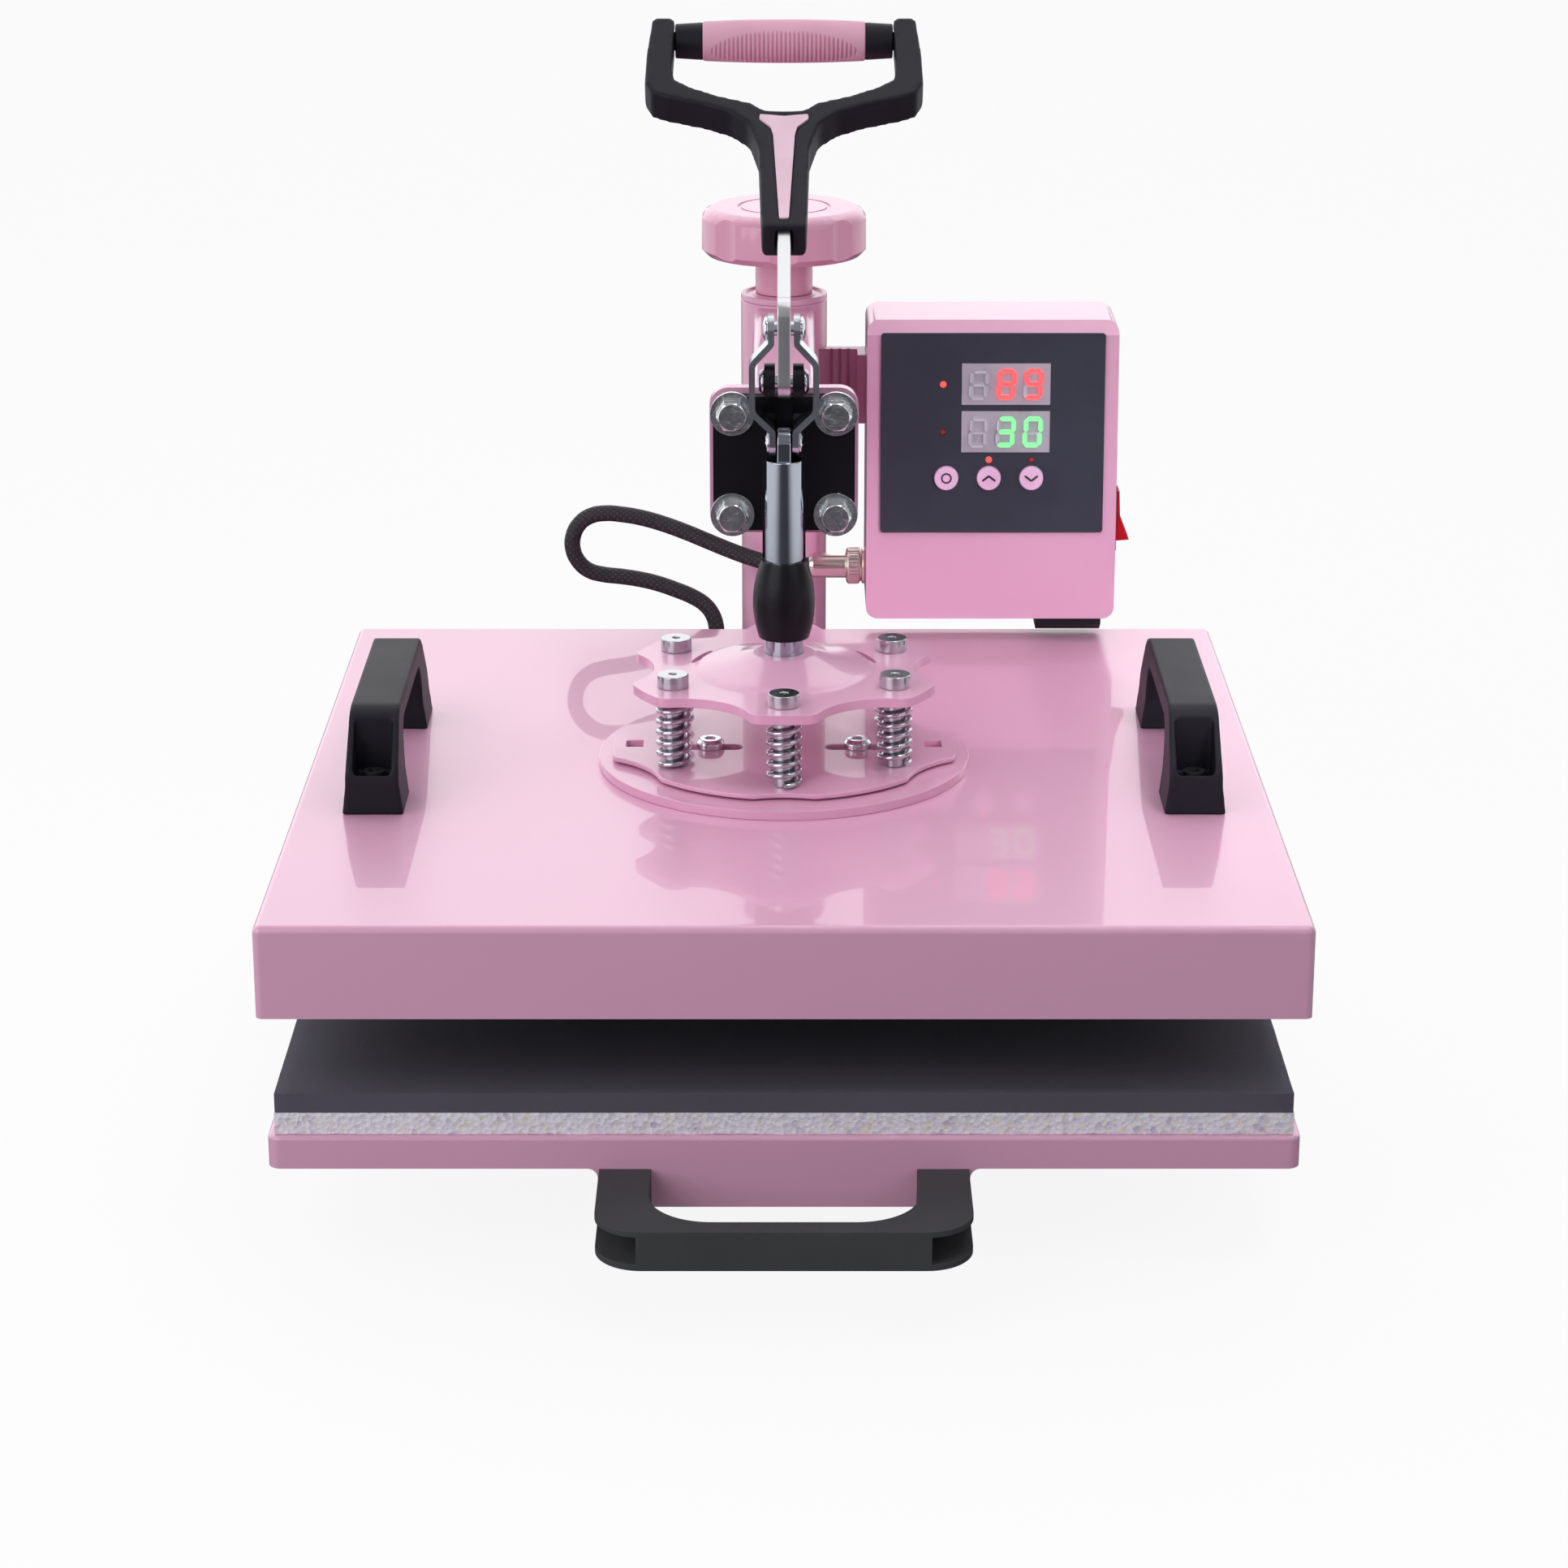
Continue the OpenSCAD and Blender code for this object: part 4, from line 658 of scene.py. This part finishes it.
# %% Solids that keep their own shape
def coat(node, finish):
    nodes[node].data.materials.clear()
    nodes[node].data.materials.append(finish.material)


coat("heating_element", bar_steel)
coat("insulation_mat", mat_white)
coat("circuit_board", board_green)

# %% [markdown]
# ## Control box
# The box is two halves with generously rounded outer edges, and a black film panel lies on its leaning
# front. Only the rim, the brow and the fold at the chin are rounded here, because the walls are thin and
# the cut-outs stay crisp.

# %% Box halves
BOX_CORNER = 5.5 * MM
CHIN, FACE, LEAN = 40.0, 92.0, 8.0
BROW_DROP, BROW_DEEP, BROW_LONG = 12 * MM, 30 * MM, 80 * MM
box_low, front_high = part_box("box_front")
box_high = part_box("box_back")[1]
fold_z = box_low.z + CHIN * MM


def on_rim(a, b, deep):
    flat = abs(a.y - b.y) < 0.3 * (a - b).length
    return flat and all(deep(p.y) and rim_gap(p, box_low, box_high, BOX_CORNER, (0, 2)) < 3 * NEAR
                        for p in (a, b))


def at_chin(a, b):
    return all(abs(p.z - fold_z) < NEAR and p.y < box_low.y + 2 * NEAR for p in (a, b))


def at_brow(a, b):
    level = abs(a.z - b.z) < NEAR and abs(a.y - b.y) < NEAR and abs(a.x - b.x) > BROW_LONG
    return level and a.z > box_high.z - BROW_DROP and a.y < box_low.y + BROW_DEEP


front_half, back_half = merged_copy("box_front"), merged_copy("box_back")
round_picked(front_half, at_brow, 2.5 * MM, 4)
round_picked(front_half, at_chin, 4 * MM, 4)
round_picked(front_half, lambda a, b: on_rim(a, b, lambda y: y < front_high.y - 10 * MM), 3 * MM, 4)
round_picked(back_half, lambda a, b: on_rim(a, b, lambda y: y > box_high.y - 1 * MM), 1.6 * MM, 3)
for name, shell in (("box_front", front_half), ("box_back", back_half)):
    smooth(shell)
    finish_piece(shell, body_of_node[name], powder_pink, [name])
    print(name, "faces", len(shell.data.polygons))

# %% [markdown]
# ## Control panel
# The film carries two windows with three seven-segment figures each, four lamps and three buttons.
# Two of the lamps are lit, so each one is taken off the copied solid as a piece of its own. A segment is
# a thin bar with pointed ends, and a figure puts one in each of its seven places. Lit segments are red
# in the upper window and green in the lower one, and the rest are a dim grey.

# %% Panel frame
PANEL_H, PANEL_V = 92.0, 1.5
FILM_EDGE, FILM_OUT = 45 * MM, 1.7 * MM
TILT = math.atan(LEAN / FACE)
panel_at = Vector((95.5, 168.0, 153.0 + CHIN)) * MM
PANEL = Matrix.Translation(panel_at) @ Matrix.Rotation(math.pi / 2 - TILT, 4, "X")
panel_mid = PANEL_V + PANEL_H / 2
film = soften("control_panel", panel_film, 0.25)
for v in film.data.vertices:
    off = v.co.x - panel_at.x
    if abs(off) > FILM_EDGE:
        v.co.x += math.copysign(FILM_OUT, off)
soften("display_windows", window_grey, 0.1)
for name in ("button_set", "button_up", "button_down"):
    soften(name, button_pink, 0.7, 3)

# %% Indicator lamps
LIT_LAMPS, LAMP_REACH = ((-22.7, 22.5), (-1.5, -12.2)), 5
lamps = merged_copy("indicator_lamps")
smooth(lamps)
bpy.ops.object.mode_set(mode="EDIT")
bpy.ops.mesh.separate(type="LOOSE")
bpy.ops.object.mode_set(mode="OBJECT")
for i, bulb in enumerate(bpy.context.selected_objects):
    middle = sum((v.co for v in bulb.data.vertices), Vector()) / len(bulb.data.vertices)
    at = PANEL.inverted() @ middle
    near = [math.hypot(at.x / MM - u, at.y / MM - panel_mid - v) < LAMP_REACH for u, v in LIT_LAMPS]
    bulb.name = "indicator_lamp_%d" % i
    finish_piece(bulb, "head", lamp_red if any(near) else lamp_dim, ["indicator_lamps"])


# %% Seven-segment figures
def settle(piece, place):
    """Puts a finished piece's place into its mesh and its object at the origin."""
    piece.data.transform(place @ piece.matrix_world)
    piece.matrix_world = Matrix.Identity(4)


SEGMENT_THICK, POINT_SHARE = 0.25 * MM, 0.48


def segment_bar(long, wide):
    """Flat bar with pointed ends along x, modelled from a cube."""
    deselect()
    bpy.ops.mesh.primitive_cube_add(size=1)
    bar = bpy.context.object
    bar.scale = (long, wide, SEGMENT_THICK)
    bpy.ops.object.transform_apply(location=False, rotation=False, scale=True)
    ends = [e.index for e in bar.data.edges
            if abs(abs(bar.data.vertices[e.vertices[0]].co.x) - long / 2) < 1e-7
            and (bar.data.vertices[e.vertices[0]].co - bar.data.vertices[e.vertices[1]].co).z]
    for e in bar.data.edges:
        e.select = e.index in ends
    bpy.ops.object.mode_set(mode="EDIT")
    bpy.ops.mesh.select_mode(type="EDGE")
    bpy.ops.mesh.bevel(offset=wide * POINT_SHARE, segments=1, affect="EDGES")
    bpy.ops.object.mode_set(mode="OBJECT")
    return bar


FIGURE_W, FIGURE_H, STROKE = 8.8 * MM, 14.2 * MM, 2.1 * MM
SLANT, FIGURE_LIFT = 0.09, 1.85 * MM
FIGURE_U, FIGURE_STEP, ROW_V = 6.0, 12.4, (22.7, 0.8)
UP, OUT = (FIGURE_H - STROKE) / 2, (FIGURE_W - STROKE) / 2
SEGMENTS = {"a": (0, UP, 0), "g": (0, 0, 0), "d": (0, -UP, 0), "b": (OUT, UP / 2, 1),
            "c": (OUT, -UP / 2, 1), "f": (-OUT, UP / 2, 1), "e": (-OUT, -UP / 2, 1)}
LIT = {"8": "abcdefg", "9": "abcdfg", "3": "abcdg", "0": "abcdef", " ": ""}


def figure(digit, u, v, groups, key):
    for name, (x, y, upright) in SEGMENTS.items():
        bar = segment_bar(UP if upright else 2 * OUT, STROKE)
        turn = Matrix.Rotation(math.pi / 2 * upright, 4, "Z")
        settle(bar, PANEL @ Matrix.Translation((u + x + SLANT * y, v + y, FIGURE_LIFT)) @ turn)
        groups[key if name in LIT[digit] else "dim"].append(bar)


def joined(pieces, name):
    only(pieces[0])
    for p in pieces:
        p.select_set(True)
    bpy.ops.object.join()
    pieces[0].name = name
    return pieces[0]


groups = {"red": [], "green": [], "dim": []}
for row, (text, key) in enumerate(((" 89", "red"), (" 30", "green"))):
    for i, digit in enumerate(text):
        v = (panel_mid + ROW_V[row]) * MM
        figure(digit, (FIGURE_U + (i - 1) * FIGURE_STEP) * MM, v, groups, key)
for key, finish in (("red", digit_red), ("green", digit_green), ("dim", segment_dim)):
    finish_piece(joined(groups[key], "figures_" + key), "head", finish)


# %% Marks on the buttons
ARM_LONG, ARM_WIDE, ARM_OFF, ARM_TURN = 4.2 * MM, 0.9 * MM, 1.45 * MM, 38
BUTTON_V, SET_U, UP_U, DOWN_U = -20.5, -21 * MM, -1.5 * MM, 18 * MM
CHEVRON_LIFT, RING_LIFT, RING_R, RING_WIRE = 3.6 * MM, 3.5 * MM, 2.1 * MM, 0.4 * MM


def chevron(name, body, u, v, flip):
    arms = []
    for s in (-1, 1):
        arm = segment_bar(ARM_LONG, ARM_WIDE)
        turn = Matrix.Rotation(math.radians(-ARM_TURN * s * flip), 4, "Z")
        settle(arm, PANEL @ Matrix.Translation((u + s * ARM_OFF, v, CHEVRON_LIFT)) @ turn)
        arms.append(arm)
    finish_piece(joined(arms, name), body, mark_dark)


button_v = (panel_mid + BUTTON_V) * MM
chevron("mark_up", "up_button", UP_U, button_v, 1)
chevron("mark_down", "down_button", DOWN_U, button_v, -1)
deselect()
bpy.ops.mesh.primitive_torus_add(major_radius=RING_R, minor_radius=RING_WIRE,
                                 major_segments=40, minor_segments=8)
ring = bpy.context.object
ring.name = "mark_set"
settle(ring, PANEL @ Matrix.Translation((SET_U, button_v, RING_LIFT)))
smooth(ring)
finish_piece(ring, "set_button", mark_dark)

# %% [markdown]
# ## Springs
# A coil spring is wire swept along a helix. The Screw modifier does that from one ring of wire, turn
# after turn. The springs stand round the shoulder bolts.

# %% Coil springs
SPRING_LOW, SPRING_HIGH = 148.6 * MM, 178.6 * MM
WIRE, COIL, TURNS, COIL_STEPS, SEAT = 1.2 * MM, 6.3 * MM, 6, 22, 0.05 * MM


def coil_spring():
    deselect()
    bpy.ops.mesh.primitive_circle_add(vertices=10, radius=WIRE, fill_type="NOTHING")
    coil = bpy.context.object
    coil.data.transform(Matrix.Translation((COIL, 0, SPRING_LOW + WIRE + SEAT))
                        @ Matrix.Rotation(math.pi / 2, 4, "X"))
    screw = coil.modifiers.new("coil", "SCREW")
    screw.axis, screw.steps, screw.render_steps = "Z", COIL_STEPS, COIL_STEPS
    screw.iterations = TURNS
    screw.screw_offset = (SPRING_HIGH - SPRING_LOW - 2 * WIRE - 2 * SEAT) / TURNS
    screw.use_smooth_shade = True
    bpy.ops.object.modifier_apply(modifier=screw.name)
    bpy.ops.object.mode_set(mode="EDIT")
    bpy.ops.mesh.select_all(action="DESELECT")
    bpy.ops.mesh.select_mode(type="EDGE")
    bpy.ops.mesh.select_non_manifold()
    bpy.ops.mesh.fill_holes(sides=12)
    bpy.ops.mesh.select_all(action="SELECT")
    bpy.ops.mesh.normals_make_consistent(inside=False)
    bpy.ops.object.mode_set(mode="OBJECT")
    return coil


coils = []
for turn, spot in zip(bolt_turns, bolt_spots):
    coil = coil_spring()
    settle(coil, Matrix.Translation(spot.to_3d()) @ Matrix.Rotation(turn, 4, "Z"))
    coils.append(coil)
springs = joined(coils, "spring_coils")
smooth(springs, 60)
finish_piece(springs, "platen", spring_steel, ["compression_springs"])
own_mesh(springs)
print("spring faces", len(springs.data.polygons))

# %% [markdown]
# ## Sponge pad and foam
# The pad is a sheet of soft sponge rubber on a slab of pressed foam crumbs. Both are cut with a blade,
# so their faces are a little uneven: a finely divided block is pushed in and out by a cloud texture.


# %% Cut slabs
def slab(name, node, cuts, push, finish):
    low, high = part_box(node)
    deselect()
    bpy.ops.mesh.primitive_cube_add(size=1, location=(low + high) / 2)
    piece = bpy.context.object
    piece.name = name
    piece.scale = high - low - Vector((1, 1, 0.5)) * push
    bpy.ops.object.transform_apply(location=True, rotation=False, scale=True)
    bpy.ops.object.mode_set(mode="EDIT")
    bpy.ops.mesh.select_all(action="SELECT")
    bpy.ops.mesh.subdivide(number_cuts=cuts)
    bpy.ops.object.mode_set(mode="OBJECT")
    cloud = bpy.data.textures.new(name + "_unevenness", "CLOUDS")
    cloud.noise_scale, cloud.noise_depth = 0.011, 3
    uneven = piece.modifiers.new("cut", "DISPLACE")
    uneven.texture, uneven.texture_coords = cloud, "GLOBAL"
    uneven.strength, uneven.mid_level = push, 0.5
    bpy.ops.object.modifier_apply(modifier=uneven.name)
    bevel(piece, 0.35 * MM, 2, 60)
    bpy.ops.object.shade_smooth_by_angle(angle=math.radians(50))
    finish_piece(piece, "drawer", finish, [node])
    return piece


pad = slab("sponge_pad", "silicone_pad", 60, 0.25 * MM, pad_sponge)
foam = slab("crumb_foam", "felt_layer", 60, 0.6 * MM, foam_crumbs)
print("pad faces", len(pad.data.polygons), "foam faces", len(foam.data.polygons))

# %% [markdown]
# ## Heater cable
# A braided cable leaves the plug on the box, bows out to the left behind the platen and comes down into
# the gland on the cover's back. Its points are the route of the solid.

# %% Cable
ROUTE = [(11.6, 198, 31), (4, 198, 31), (-6, 198, 32), (-16, 199, 34.5), (-26, 200, 38), (-36, 201, 42),
         (-46, 202, 46), (-56, 203, 49.5), (-66, 204, 52.2), (-75, 205, 53.6), (-84, 206, 54),
         (-90.6, 207, 52.5), (-95.9, 208, 48.5), (-99, 208.5, 42.5), (-99.3, 209, 35.8),
         (-96.7, 209.5, 29.6), (-91.8, 210, 25.1), (-85.4, 210.5, 23.1), (-76.5, 211, 21.9),
         (-68, 211.5, 20.4), (-60, 212, 18.3), (-51.5, 212, 15.3), (-42.4, 212, 11.3), (-37.3, 212, 7.7),
         (-33.7, 212, 2.6), (-32.1, 212, -3.4), (-32, 212, -6.5), (-32, 212, -9.3)]
CABLE_D = 7.5 * MM
route = [Vector((x * MM, y * MM + PLATEN_Y, z * MM + PLATEN_TOP)) for x, y, z in ROUTE]
line = bpy.data.curves.new("heater_lead", "CURVE")
line.dimensions, line.bevel_depth, line.bevel_resolution = "3D", CABLE_D / 2, 5
line.use_fill_caps, line.resolution_u = True, 6
spline = line.splines.new("BEZIER")
spline.bezier_points.add(len(route) - 1)
for knot, at in zip(spline.bezier_points, route):
    knot.co = at
    knot.handle_left_type = knot.handle_right_type = "AUTO"
lead = bpy.data.objects.new("heater_lead", line)
bpy.context.scene.collection.objects.link(lead)
only(lead)
bpy.ops.object.convert(target="MESH")
lead = bpy.context.object
smooth(lead, 50)
lead.data.materials.clear()
lead.data.materials.append(cable_braid.material)
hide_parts("heater_cable")
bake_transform(lead)
